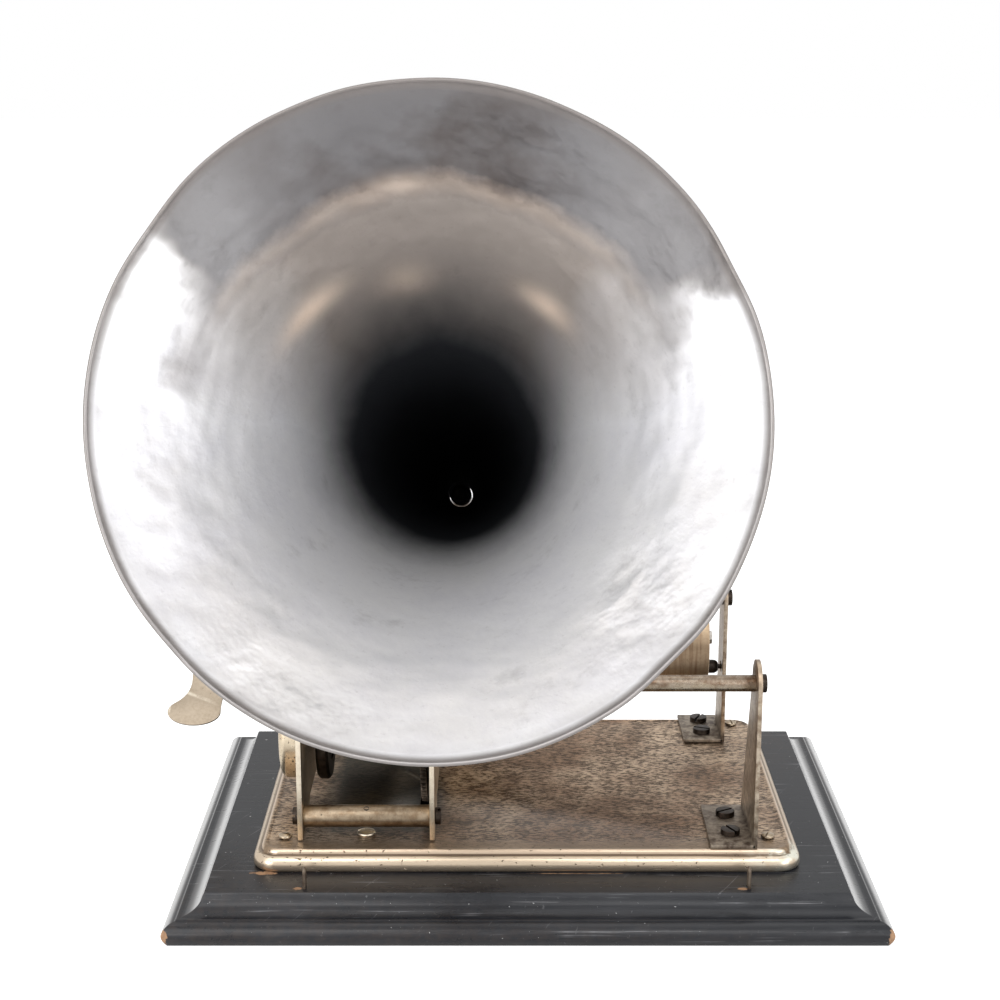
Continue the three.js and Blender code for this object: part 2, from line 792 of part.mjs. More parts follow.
// The click's line passes just over the ratchet's teeth and its nose hooks down behind one.
function clickPlace() {
  const toWheel = between(clickPivot, barrelAxis);
  const offset = ratchetRadius + clickLift + clickWidth / 2;
  const inward = Math.atan2(barrelAxis.z - clickPivot.z, barrelAxis.y - clickPivot.y);
  const length = Math.sqrt(toWheel ** 2 - offset ** 2) + clickReach;
  return {
    angle: inward - Math.asin(offset / toWheel),
    length,
    noseDepth: clickWidth / 2 + clickLift + ratchetDepth * clickBiteShare,
  };
}

// The ratchet's turn that leaves its tooth's steep face just past the click's nose
function ratchetTurn() {
  const { angle, length, noseDepth } = clickPlace();
  const y = clickPivot.y + length * Math.cos(angle) - noseDepth * Math.sin(angle) - barrelAxis.y;
  const z = clickPivot.z + length * Math.sin(angle) + noseDepth * Math.cos(angle) - barrelAxis.z;
  return Math.atan2(z, y) + fit / Math.hypot(y, z);
}

// The click that holds the ratchet, with its own pin through the plate
function clickPawl() {
  const { angle, length, noseDepth } = clickPlace();
  const half = clickWidth / 2;
  const arm = plateX(outline([
    [0, -half], [length, -half], [length, noseDepth], [length - clickNose, half], [0, half],
  ]), ratchetX, ratchetX + clickThickness);
  const eye = rodX(half + clickEyeWall, ratchetX, ratchetX + clickThickness);
  const pin = rodX(clickPinRadius, ratchetX, leftInner);
  return joined(arm.rotate([angle * 360 / turn, 0, 0]), eye, pin);
}

function addWinding() {
  piece("winding_arbor", windingArbor(), steel, barrelAxis);
  piece("ratchet_wheel", ratchet(ratchetTurn()), steel, barrelAxis);
  piece("winding_key", windingKey(), paleNickel, barrelAxis);
  piece("click_pawl", clickPawl(), blackSteel, clickPivot);
}

function springBarrel() {
  const bore = arborRadius + fit;
  const far = barrelX + barrelWall;
  const inner = barrelRadius - barrelWall;
  return turnedX([
    [bore, barrelX], [barrelRadius, barrelX], [barrelRadius, barrelRight],
    [inner, barrelRight], [inner, far], [bore, far], [bore, barrelX],
  ], fineSides);
}

// The mainspring: a flat strip wound in a spiral inside the barrel
function mainspring() {
  const outer = barrelRadius - barrelWall - fit;
  const stepsPerTurn = 12;
  const steps = springTurns * stepsPerTurn;
  const along = (i, offset) => {
    const angle = i * turn / stepsPerTurn;
    const radius = springInnerRadius + (outer - springInnerRadius - springStrip) * i / steps + offset;
    return [radius * Math.cos(angle), radius * Math.sin(angle)];
  };
  const points = [];
  for (let i = 0; i <= steps; i += 1) {
    points.push(along(i, 0));
  }
  for (let i = steps; i >= 0; i -= 1) {
    points.push(along(i, springStrip));
  }
  return plateX(outline(points), barrelX + barrelWall + fit, barrelRight - fit);
}

function addBarrel(greatTurn) {
  piece("spring_barrel", springBarrel(), brass, barrelAxis);
  piece("mainspring", mainspring(), steel, barrelAxis);
  const wheel = gear(barrelTeeth, barrelRight, barrelRight + wheelThickness, arborRadius + fit, greatTurn);
  piece("great_wheel", wheel, brass, barrelAxis);
}

function addSecondArbor(wheelTurn) {
  const pinionFrom = barrelRight - pinionOverhang;
  const pinionTo = barrelRight + wheelThickness + pinionOverhang;
  const arbor = rodX(secondArborRadius, leftPlateX - overrun, rightPlateX);
  const pinion = gear(secondPinionTeeth, pinionFrom, pinionTo, 0, 0, true);
  piece("second_arbor", joined(arbor, pinion), steel, secondAxis);
  const bore = secondArborRadius + shaftFit;
  const wheel = gear(secondTeeth, secondWheelX, secondWheelX + wheelThickness, bore, wheelTurn);
  piece("second_wheel", wheel, blackSteel, secondAxis);
  const chamfer = (discThickness - discRim) / 2;
  const disc = turnedX([
    [bore, discX], [discRadius - chamfer, discX], [discRadius, discX + chamfer],
    [discRadius, discX + chamfer + discRim], [discRadius - chamfer, discX + discThickness],
    [bore, discX + discThickness], [bore, discX],
  ], fineSides);
  piece("brake_disc", disc, blackSteel, secondAxis);
  piece("arbor_cover", arborCover(), paleNickel, secondAxis);
}

function mandrelShell() {
  const [left, right] = [mandrelLeftX, mandrelRightX];
  const radiusAt = (x) => {
    const share = (x - left) / (right - left);
    return mandrelLeftRadius + (mandrelRightRadius - mandrelLeftRadius) * share;
  };
  const bore = mandrelShaftRadius + shaftFit;
  const rimIn = right - mandrelWebInset;
  const webIn = rimIn - mandrelWeb;
  const inner = (x) => [radiusAt(x) - mandrelWall, x];
  return turnedX([
    [bore, left], [radiusAt(left) - fit, left], [radiusAt(left), left + fit],
    [radiusAt(right), right - fit], [radiusAt(right) - fit, right],
    inner(right), inner(rimIn), [mandrelHubRadius, rimIn], [mandrelHubRadius, right - fit],
    [bore, right - fit], [bore, webIn], inner(webIn), inner(left + mandrelWeb),
    [bore, left + mandrelWeb], [bore, left],
  ], fineSides);
}

function addMandrel(feedTurn) {
  const pinionFrom = secondWheelX - pinionOverhang;
  const pinionTo = secondWheelX + wheelThickness + pinionOverhang;
  const shaft = rodX(mandrelShaftRadius, leftPlateX, mandrelRightX + mandrelShaftEnd);
  const pinion = gear(mandrelPinionTeeth, pinionFrom, pinionTo, 0, 0, true);
  piece("mandrel_shaft", joined(shaft, pinion), steel, mandrelAxis);
  piece("mandrel", mandrelShell(), nickel, mandrelAxis);
  const bore = mandrelShaftRadius + shaftFit;
  const wheelTo = mandrelWheelX + mandrelWheelThickness;
  piece("mandrel_wheel", gear(mandrelTeeth, mandrelWheelX, wheelTo, bore, 0), brass, mandrelAxis);
  const feedTo = feedWheelX + feedWheelThickness;
  const feedGear = gear(mandrelFeedTeeth, feedWheelX, feedTo, bore, feedTurn, true);
  piece("mandrel_feed_gear", feedGear, brass, mandrelAxis);
}

function addFeedTrain(feedTurn) {
  const feedTo = feedWheelX + feedWheelThickness;
  const idlerTurn = meshedTurn(feedTurn, mandrelFeedTeeth, idlerTeeth, mandrelAxis, idlerAxis);
  const screwTurn = meshedTurn(idlerTurn, idlerTeeth, feedTeeth, idlerAxis, feedAxis);
  const studBore = pillarTenonRadius + shaftFit;
  piece("feed_idler", gear(idlerTeeth, feedWheelX, feedTo, studBore, idlerTurn), brass, idlerAxis);
  const stud = rodX(pillarTenonRadius, rightInner, feedTo + fit);
  const studHead = rodX(pillarTenonRadius * studHeadShare, feedTo + fit, feedTo + fit + overrun);
  piece("idler_stud", joined(stud, studHead), steel, idlerAxis);
  const screwBore = feedScrewRadius + shaftFit;
  const screwGear = gear(feedTeeth, feedWheelX, feedTo, screwBore, screwTurn);
  piece("feed_screw_gear", screwGear, brass, feedAxis);
  const nose = bracketRight - bracketThickness;
  const screw = turnedX([
    [0, rightInner], [rodTenonRadius, rightInner], [rodTenonRadius, rightPlateX],
    [feedScrewRadius, rightPlateX + fit], [feedScrewRadius, nose - feedConeLength],
    [feedTipRadius, nose + bracketThickness / 2], [0, nose + bracketThickness / 2],
  ], 24);
  piece("feed_screw", screw, blackSteel, feedAxis);
}

// One governor arm: a bowed strip with a round weight at its middle
function governorArm() {
  const [from, to] = [fixedCollarX, slidingCollarX];
  const steps = 8;
  const seat = collarRadius + fit;
  const line = (offset) => [...Array(steps + 1).keys()].map((i) => {
    const x = from + (to - from) * i / steps;
    return [x, seat + armBow * Math.sin(Math.PI * i / steps) ** 2 + offset];
  });
  const strip = outline([...line(0), ...line(armStrip).reverse()]);
  const options = { depth: armWidth, bevelEnabled: false };
  const flat = new THREE.ExtrudeGeometry(strip, options).translate(0, 0, -armWidth / 2);
  const bowed = toSolid(flat.rotateX(Math.PI / 2));
  const ball = toSolid(new THREE.SphereGeometry(weightRadius, 12, 8));
  return joined(bowed, moved(ball, (from + to) / 2, 0, seat + armBow));
}

function addGovernor(pinionTurn) {
  const [from, to] = [fixedCollarX, slidingCollarX];
  const inset = collarLength / 2;
  const arbor = rodX(governorArborRadius, leftPlateX, rightPlateX, 12);
  const pinionTo = mandrelWheelX + mandrelWheelThickness + pinionOverhang;
  const pinion = gear(governorPinionTeeth, mandrelWheelX - pinionOverhang, pinionTo, 0, pinionTurn, true);
  const fixed = rodX(collarRadius, from - pinionOverhang, from + inset);
  const sliding = rodX(collarRadius, to - inset, to + inset);
  piece("governor_spindle", joined(arbor, pinion, fixed, sliding), steel, governorAxis);
  const discFrom = to + inset;
  const bore = governorArborRadius + shaftFit;
  const disc = tubeX(governorDiscRadius, bore, discFrom, discFrom + governorDiscThickness);
  piece("governor_disc", disc, steel, governorAxis);
  for (let i = 0; i < governorArmCount; i += 1) {
    piece(`governor_arm_${i + 1}`, governorArm(), brass, {
      ...governorAxis, turnX: i * turn / governorArmCount,
    });
  }
}

// The start lever: pad on the disc's rim, pin through the left plate, knob above the plates
function addBrake() {
  const angle = brakePad.angle * turn / 360;
  const reach = discRadius + fit + brakePad.radius;
  const pad = {
    y: secondAxis.y + reach * Math.cos(angle) - brakePivot.y,
    z: secondAxis.z + reach * Math.sin(angle) - brakePivot.z,
  };
  const knob = { y: brakeKnob.y - brakePivot.y, z: brakeKnob.z - brakePivot.z };
  const [from, to] = [leverX, leverX + leverThickness];
  const rootHalf = leverWidth / 2;
  const tipHalf = rootHalf * leverTipShare;
  const arm = (end) => {
    const length = Math.hypot(end.y, end.z);
    const strip = outline([[0, -rootHalf], [length, -tipHalf], [length, tipHalf], [0, rootHalf]]);
    const degrees = Math.atan2(end.z, end.y) * 360 / turn;
    return plateX(strip, from, to).rotate([degrees, 0, 0]);
  };
  const eye = rodX(rootHalf, from, to);
  const pin = rodX(leverPinRadius, leftPlateX, to);
  const padDisc = moved(rodX(brakePad.radius, from, to), 0, pad.y, pad.z);
  const ball = toSolid(new THREE.SphereGeometry(brakeKnob.radius, smallSides, 8));
  const top = moved(ball, (from + to) / 2, knob.y, knob.z);
  piece("brake_lever", joined(arm(pad), arm(knob), eye, pin, padDisc, top), nickel, brakePivot);
}

// A rod that butts on the right plate, with a tenon through it and a tapped right end
function guideRod() {
  const right = bracketRight - bracketThickness;
  const tap = shankRadius + shaftFit;
  const depth = shankDepth + overrun;
  return turnedX([
    [0, rightInner], [rodTenonRadius, rightInner], [rodTenonRadius, rightPlateX],
    [rodRadius, rightPlateX], [rodRadius, right], [tap, right],
    [tap, right - depth], [0, right - depth],
  ], 24);
}

function bracket(upright, footFrom, footTo, holes, bores) {
  const inner = bracketRight - bracketThickness;
  const foot = block(bracketFootLeft, inner + fit, footFrom, footTo, bedTop, bedTop + bracketThickness);
  const plate = plateX(upright, inner, bracketRight, smallSides);
  const drills = holes.map(({ x, y }) => {
    const [low, high] = [bedTop - overrun, bedTop + bracketThickness + overrun];
    return moved(turnedZ(rodProfile(shankRadius + shaftFit, low, high), smallSides), x, y, 0);
  });
  const through = bores.map(({ y, z, radius }) => {
    return moved(rodX(radius, inner - overrun, bracketRight + overrun), 0, y, z);
  });
  return cut(joined(foot, plate), ...drills, ...through);
}

function frontUpright() {
  const shape = new THREE.Shape();
  const front = frontRodY - frontHeadRadius;
  shape.moveTo(front, bedTop);
  shape.lineTo(frontFootRearY, bedTop);
  shape.lineTo(frontRodY + frontHeadRadius, rodHeight);
  shape.absarc(frontRodY, rodHeight, frontHeadRadius, 0, Math.PI);
  return shape;
}

function rearUpright() {
  const shape = new THREE.Shape();
  const front = rearRodY - rearHeadRadius;
  shape.moveTo(front, bedTop);
  shape.lineTo(front + rearUprightFoot, bedTop);
  shape.lineTo(rearRodY + rearHeadRadius, (bedTop + rodHeight) / 2);
  shape.lineTo(rearRodY + rearHeadRadius, rodHeight);
  shape.absarc(rearRodY, rodHeight, rearHeadRadius, 0, Math.PI);
  return shape;
}

function addRods() {
  piece("front_rod", guideRod(), nickel, frontRodAxis);
  piece("rear_rod", guideRod(), nickel, rearRodAxis);
  const screw = slottedScrew(rodScrewHead, bracketThickness + shankDepth);
  for (const [name, axis] of [["front", frontRodAxis], ["rear", rearRodAxis]]) {
    piece(`rod_screw_${name}`, screw, blackSteel, { ...axis, x: bracketRight, turnY: Math.PI / 2 });
  }
  const places = bracketScrewPlaces();
  const hole = shankRadius + shaftFit;
  const frontFrom = frontRodY - frontHeadRadius;
  const front = bracket(frontUpright(), frontFrom, frontFootRearY, places.slice(0, 2), [
    { ...frontRodAxis, radius: hole },
  ]);
  piece("front_bracket", front, nickel);
  const rearFrom = rearRodY - rearHeadRadius;
  const rear = bracket(rearUpright(), rearFrom, rearFrom + rearFootDepth, places.slice(2), [
    { ...rearRodAxis, radius: hole },
    { ...feedAxis, radius: feedTipRadius + feedScrewRadius / 2 },
  ]);
  piece("rear_bracket", rear, nickel);
  places.forEach(({ x, y }, i) => {
    const solid = slottedScrew(footScrewHead, bracketThickness + bedHeight - fit);
    piece(`bracket_screw_${i + 1}`, solid, blackSteel, { x, y, z: bedTop + bracketThickness });
  });
}

const ringBottom = mandrelAxis.z + recordRadius + stylusGap + ringHeight / 2;
const ringTop = ringBottom + ringHeight;
const hubBore = sleeveRadius + fit;
const hubRadius = hubBore + hubWall;
const sleeveFrom = carriageX - sleeveLength / 4;

function carriageSleeve() {
  const bore = rodRadius + shaftFit;
  const [from, to] = [sleeveFrom, sleeveFrom + sleeveLength];
  return turnedX([
    [bore, from], [sleeveFlangeRadius, from], [sleeveFlangeRadius, from + sleeveFlange],
    [sleeveRadius, from + sleeveFlange], [sleeveRadius, to - sleeveFlange],
    [sleeveFlangeRadius, to - sleeveFlange], [sleeveFlangeRadius, to], [bore, to], [bore, from],
  ], 24);
}

// The arm's middle line from the rear rod over the record to the front rod, in Y and Z
function armRoute() {
  const top = (ringBottom + ringTop) / 2;
  return [
    [rearRodY, rodHeight + hubRadius / 2],
    [rearRodY - hubRadius, rodHeight + armRise],
    [reproducerY + ringRadius, top],
    [reproducerY - ringRadius, top],
    [frontRodY + hubRadius, rodHeight + armRise],
    [frontRodY, rodHeight + rodRadius + armRib],
  ].map(([y, z]) => new THREE.Vector2(y, z));
}

function carriageArm() {
  const route = new THREE.SplineCurve(armRoute());
  const steps = 24;
  const side = (offset) => [...Array(steps + 1).keys()].map((i) => {
    const point = route.getPoint(i / steps);
    const along = route.getTangent(i / steps);
    return [point.x - along.y * offset, point.y + along.x * offset];
  });
  const half = armPlateWidth / 2;
  const strip = outline([...side(-armRib), ...side(armRib).reverse()]);
  const arch = plateX(strip, carriageX - half, carriageX + half);
  const hubFrom = sleeveFrom + sleeveFlange + fit;
  const hubTo = sleeveFrom + sleeveLength - sleeveFlange - fit;
  const hub = moved(rodX(hubRadius, hubFrom, hubTo, roundSides), 0, rearRodY, rodHeight);
  const discAt = (radius, low, high) => {
    return moved(turnedZ(rodProfile(radius, low, high), fineSides), carriageX, reproducerY, 0);
  };
  const ring = discAt(ringRadius, ringBottom, ringTop);
  const bore = discAt(reproducerRadius + fit, ringBottom - ringHeight, ringTop + ringHeight);
  const seat = rodHeight + rodRadius + fit;
  const padFrom = frontRodY - footPadLength / 2;
  const padTo = padFrom + footPadLength;
  const pad = block(carriageX - half, carriageX + half, padFrom, padTo, seat, seat + armRib);
  const lower = block(
    carriageX - ringRadius, carriageX + ringRadius, frontRodY - footPadLength, frontRodY + footPadLength,
    bedTop, seat,
  );
  const sleeveBore = moved(rodX(hubBore, hubFrom - overrun, hubTo + overrun, 24), 0, rearRodY, rodHeight);
  return cut(joined(arch, hub, ring, pad), bore, sleeveBore, lower);
}

// The half nut lies on the front of the feed screw, so that lifting the arm frees it
function halfNut() {
  const face = feedAxis.y - feedScrewRadius * nutWrapShare;
  const [from, to] = [carriageX - nutWidth / 2 + armRib, carriageX + nutWidth / 2 + armRib];
  const [low, high] = [feedAxis.z - nutBlockHeight / 2, feedAxis.z + nutBlockHeight / 2];
  const stripTo = feedAxis.y - feedScrewRadius - fit - nutStrip;
  const strip = block(from, to, stripTo - nutStrip, stripTo, low, rodHeight);
  const nut = block(from, to, stripTo - nutStrip / 2, face, low, high);
  const screw = rodX(feedScrewRadius + fit, from - overrun, to + overrun, 24);
  const hub = rodX(hubRadius + fit, from - overrun, to + overrun, roundSides);
  const screwSeat = moved(screw, 0, feedAxis.y, feedAxis.z);
  return cut(joined(strip, nut), screwSeat, moved(hub, 0, rearRodY, rodHeight));
}

function addCarriage() {
  piece("carriage_sleeve", carriageSleeve(), nickel, rearRodAxis);
  piece("carriage_arm", carriageArm(), nickel);
  piece("half_nut", halfNut(), brass);
}

// Heights in the reproducer, from the face of its flange down
const reproducerTop = ringTop + fit + reproducerFlangeHeight;
const reproducerBottom = reproducerTop - reproducerHeight;

function reproducerBody() {
  const inner = reproducerRadius - reproducerWall;
  const chamber = inner - gasketWidth;
  const bottom = -reproducerHeight;
  const shelf = bottom + retainingRing + diaphragmThickness + gasketThickness + fit;
  const roof = -reproducerFlangeHeight - reproducerWall;
  const bore = neckRadius - neckWall;
  return turnedZ([
    [inner, bottom], [reproducerRadius, bottom], [reproducerRadius, -reproducerFlangeHeight],
    [reproducerFlange, -reproducerFlangeHeight], [reproducerFlange, 0], [neckRadius + neckWall, 0],
    [neckRadius, neckWall], [neckRadius, neckRise], [bore, neckRise], [bore, roof],
    [chamber, roof], [chamber, shelf], [inner, shelf], [inner, bottom],
  ], fineSides);
}

function addReproducer() {
  const place = { x: carriageX, y: reproducerY, z: reproducerTop };
  const inner = reproducerRadius - reproducerWall - shaftFit;
  const bottom = -reproducerHeight;
  const ringUp = bottom + retainingRing;
  const discUp = ringUp + diaphragmThickness;
  const gasketUp = discUp + gasketThickness;
  const hole = inner - gasketWidth;
  piece("reproducer_body", reproducerBody(), nickel, place);
  const ring = turnedZ(tubeProfile(inner, hole, bottom, ringUp), roundSides);
  piece("retaining_ring", ring, brass, place);
  piece("diaphragm", turnedZ(rodProfile(inner, ringUp, discUp), roundSides), mica, place);
  piece("diaphragm_gasket", turnedZ(tubeProfile(inner, hole, discUp, gasketUp), roundSides), rubber, place);
  piece("stylus_lever", stylusLever(ringUp - fit, bottom - fit), steel, place);
}

// A thin lever under the diaphragm with its link up to the middle and the stylus ball in front
function stylusLever(linkTop, lugTop) {
  const reach = reproducerRadius * stylusReachShare;
  const heel = -reproducerRadius * stylusHeelShare;
  const [thin, deep] = [neckWall / 2, neckWall];
  const barTop = lugTop - deep / 2;
  const tipDrop = reproducerBottom - (mandrelAxis.z + recordRadius + stylusGap) - deep * 2;
  const shape = outline([
    [reach, lugTop], [reach - deep, lugTop], [reach - deep, barTop], [thin, barTop],
    [thin, linkTop], [-thin, linkTop], [-thin, barTop], [heel, barTop],
    [heel - thin, barTop - tipDrop], [heel + deep, barTop - deep], [reach, barTop - deep],
  ]);
  return plateX(shape, -deep, deep);
}

// The elbow's middle line: up out of the neck, round, and away along the horn's axis
function elbowRoute() {
  const tilt = hornTilt * turn / 360;
  const sweep = Math.PI / 2 - tilt;
  const straight = elbowRise - elbowBend * Math.sin(sweep);
  const start = -neckRise + fit;
  const route = [new THREE.Vector3(0, 0, start), new THREE.Vector3(0, 0, straight / 2)];
  const bends = 6;
  for (let i = 0; i <= bends; i += 1) {
    const angle = sweep * i / bends;
    const [y, z] = [elbowBend * (Math.cos(angle) - 1), straight + elbowBend * Math.sin(angle)];
    route.push(new THREE.Vector3(0, y, z));
  }
  const end = route.at(-1);
  for (const ahead of [elbowReach / 2, elbowReach]) {
    route.push(new THREE.Vector3(0, end.y - ahead * Math.cos(tilt), end.z + ahead * Math.sin(tilt)));
  }
  return { route, bendEnd: end };
}

const elbowZ = reproducerTop + reproducerFlangeHeight;

// The horn's inner radius at a share of its length from the throat
function hornRadius(share) {
  const grow = hornConeShare * share + (1 - hornConeShare) * share ** hornFlare;
  return hornThroatRadius + (hornMouthRadius - hornThroatRadius) * grow;
}

const hornStepShares = [0, 0.2, 0.4, 0.56, 0.67, 0.76, 0.83, 0.88, 0.92, 0.95, 0.975];

function horn() {
  const wall = hornStepShares.map((share) => [hornRadius(share), share * hornLength]);
  const lip = hornLength - hornBeadRadius;
  const outer = wall.map(([radius, along]) => [radius + hornWall, along]).reverse();
  const bead = [
    [hornMouthRadius, lip], [hornMouthRadius + hornWall, hornLength],
    [hornMouthRadius + hornWall + hornBeadRadius, lip],
    [hornMouthRadius + hornWall, lip - hornBeadRadius],
  ];
  return turnedZ([...wall, ...bead, ...outer, wall[0]], fineSides);
}

function addHorn() {
  const { route, bendEnd } = elbowRoute();
  const place = { x: carriageX, y: reproducerY, z: elbowZ + neckRise };
  const elbow = tubeAlong(route, elbowRadius, elbowRadius - neckWall, 14, 12);
  piece("horn_elbow", elbow, aluminium, place);
  piece("horn", horn(), aluminium, {
    x: carriageX, y: place.y + bendEnd.y, z: place.z + bendEnd.z, turnX: Math.PI / 2 - hornTilt * turn / 360,
  });
}

const secondWheelTurn = meshedTurn(0, mandrelPinionTeeth, secondTeeth, mandrelAxis, secondAxis);
const greatWheelTurn = meshedTurn(0, secondPinionTeeth, barrelTeeth, secondAxis, barrelAxis);
const governorTurn = meshedTurn(0, mandrelTeeth, governorPinionTeeth, mandrelAxis, governorAxis);

addBase();
addPlates();
addPillars();
addRods();
addWinding();
addBarrel(greatWheelTurn);
addSecondArbor(secondWheelTurn);
addMandrel(0);
addFeedTrain(0);
addGovernor(governorTurn);
addBrake();
addCarriage();
addReproducer();
addHorn();

export default part;
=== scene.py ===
"""Looks of a small key-wound cylinder phonograph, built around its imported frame.

Every length is in metres, written as millimetres times MM. +X is to the right, -Y is towards the
listener and +Z is up; the origin is the middle of the wooden base's underside.
"""
import logging
import math
from collections.abc import Iterable, Sequence
from dataclasses import dataclass, field
from enum import Enum
from functools import cache

import bmesh
import bpy
from mathutils import Matrix, Vector, noise


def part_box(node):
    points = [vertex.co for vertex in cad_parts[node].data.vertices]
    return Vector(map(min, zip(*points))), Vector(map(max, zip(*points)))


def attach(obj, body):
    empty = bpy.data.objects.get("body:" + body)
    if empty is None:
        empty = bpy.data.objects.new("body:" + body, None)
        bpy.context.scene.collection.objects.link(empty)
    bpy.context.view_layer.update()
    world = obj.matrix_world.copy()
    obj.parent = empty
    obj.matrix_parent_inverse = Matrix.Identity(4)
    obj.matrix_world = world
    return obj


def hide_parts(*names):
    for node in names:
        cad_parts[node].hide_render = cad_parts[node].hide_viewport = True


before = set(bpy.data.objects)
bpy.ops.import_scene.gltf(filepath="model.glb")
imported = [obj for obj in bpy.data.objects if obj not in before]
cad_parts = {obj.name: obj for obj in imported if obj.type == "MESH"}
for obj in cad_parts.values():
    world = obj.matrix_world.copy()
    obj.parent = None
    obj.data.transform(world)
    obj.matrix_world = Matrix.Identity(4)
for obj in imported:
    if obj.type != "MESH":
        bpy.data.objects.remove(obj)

MM = 0.001
TURN = 2 * math.pi
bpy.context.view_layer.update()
LEFT_PLATE_X = -87.8 * MM
RIGHT_PLATE_X = -37.2 * MM
PLATE_SHEET = 2 * MM
BED_TOP = 23 * MM
ROD_Z = 86.4 * MM
FRONT_ROD_Y = -52.75 * MM
REAR_ROD_Y = 56.75 * MM
BARREL_AXIS = (30 * MM, 64.8 * MM)
SECOND_AXIS = (-8 * MM, 53 * MM)

log = logging.getLogger("phonograph")
logging.basicConfig(level=logging.INFO, format="%(name)s: %(message)s")

Triple = tuple[float, float, float]
Colour = Triple
Point = tuple[float, float]
Loop = list[Point]
Spot = tuple[float, float, float, float, float]

HORN_THROAT: Triple = (-25.5 * MM, -1.118 * MM, 146.3 * MM)
HORN_TILT = 16.75
HORN_LENGTH = 343.5 * MM


class Body(Enum):
    """The record's bodies that visual pieces ride on."""

    ROOT = "root"
    WINDING = "winding"
    BARREL = "barrel"
    SECOND = "second"
    DRUM = "drum"
    GOVERNOR = "governor"
    FEED = "feed"
    BRAKE = "brake"
    CARRIAGE = "carriage"
    LIFT = "lift"
    HORN = "horn"


class Slot(Enum):
    """The record's material slots."""

    WOOD = "black_wood"
    BED = "bed_nickel"
    NICKEL = "nickel"
    PALE = "pale_nickel"
    STEEL = "steel"
    BLACK = "black_steel"
    BRASS = "brass"
    RUBBER = "rubber"
    HORN = "horn_aluminium"


# Node trees


class Value:
    """One output in a node tree; arithmetic on it adds maths nodes."""

    def __init__(self, tree: "Tree", socket: bpy.types.NodeSocket) -> None:
        """Keeps the socket and the tree helper that adds to it."""
        self.tree = tree
        self.socket = socket

    def __add__(self, other: object) -> "Value":
        """Returns the sum."""
        return self.tree.maths("ADD", self, other)

    def __sub__(self, other: object) -> "Value":
        """Returns the difference."""
        return self.tree.maths("SUBTRACT", self, other)

    def __rsub__(self, other: object) -> "Value":
        """Returns a plain number less this value."""
        return self.tree.maths("SUBTRACT", other, self)

    def __mul__(self, other: object) -> "Value":
        """Returns the product."""
        return self.tree.maths("MULTIPLY", self, other)

    def __truediv__(self, other: object) -> "Value":
        """Returns the quotient."""
        return self.tree.maths("DIVIDE", self, other)

    def __pow__(self, other: object) -> "Value":
        """Returns the power."""
        return self.tree.maths("POWER", self, other)

    def __abs__(self) -> "Value":
        """Returns the value without its sign."""
        return self.tree.maths("ABSOLUTE", self)


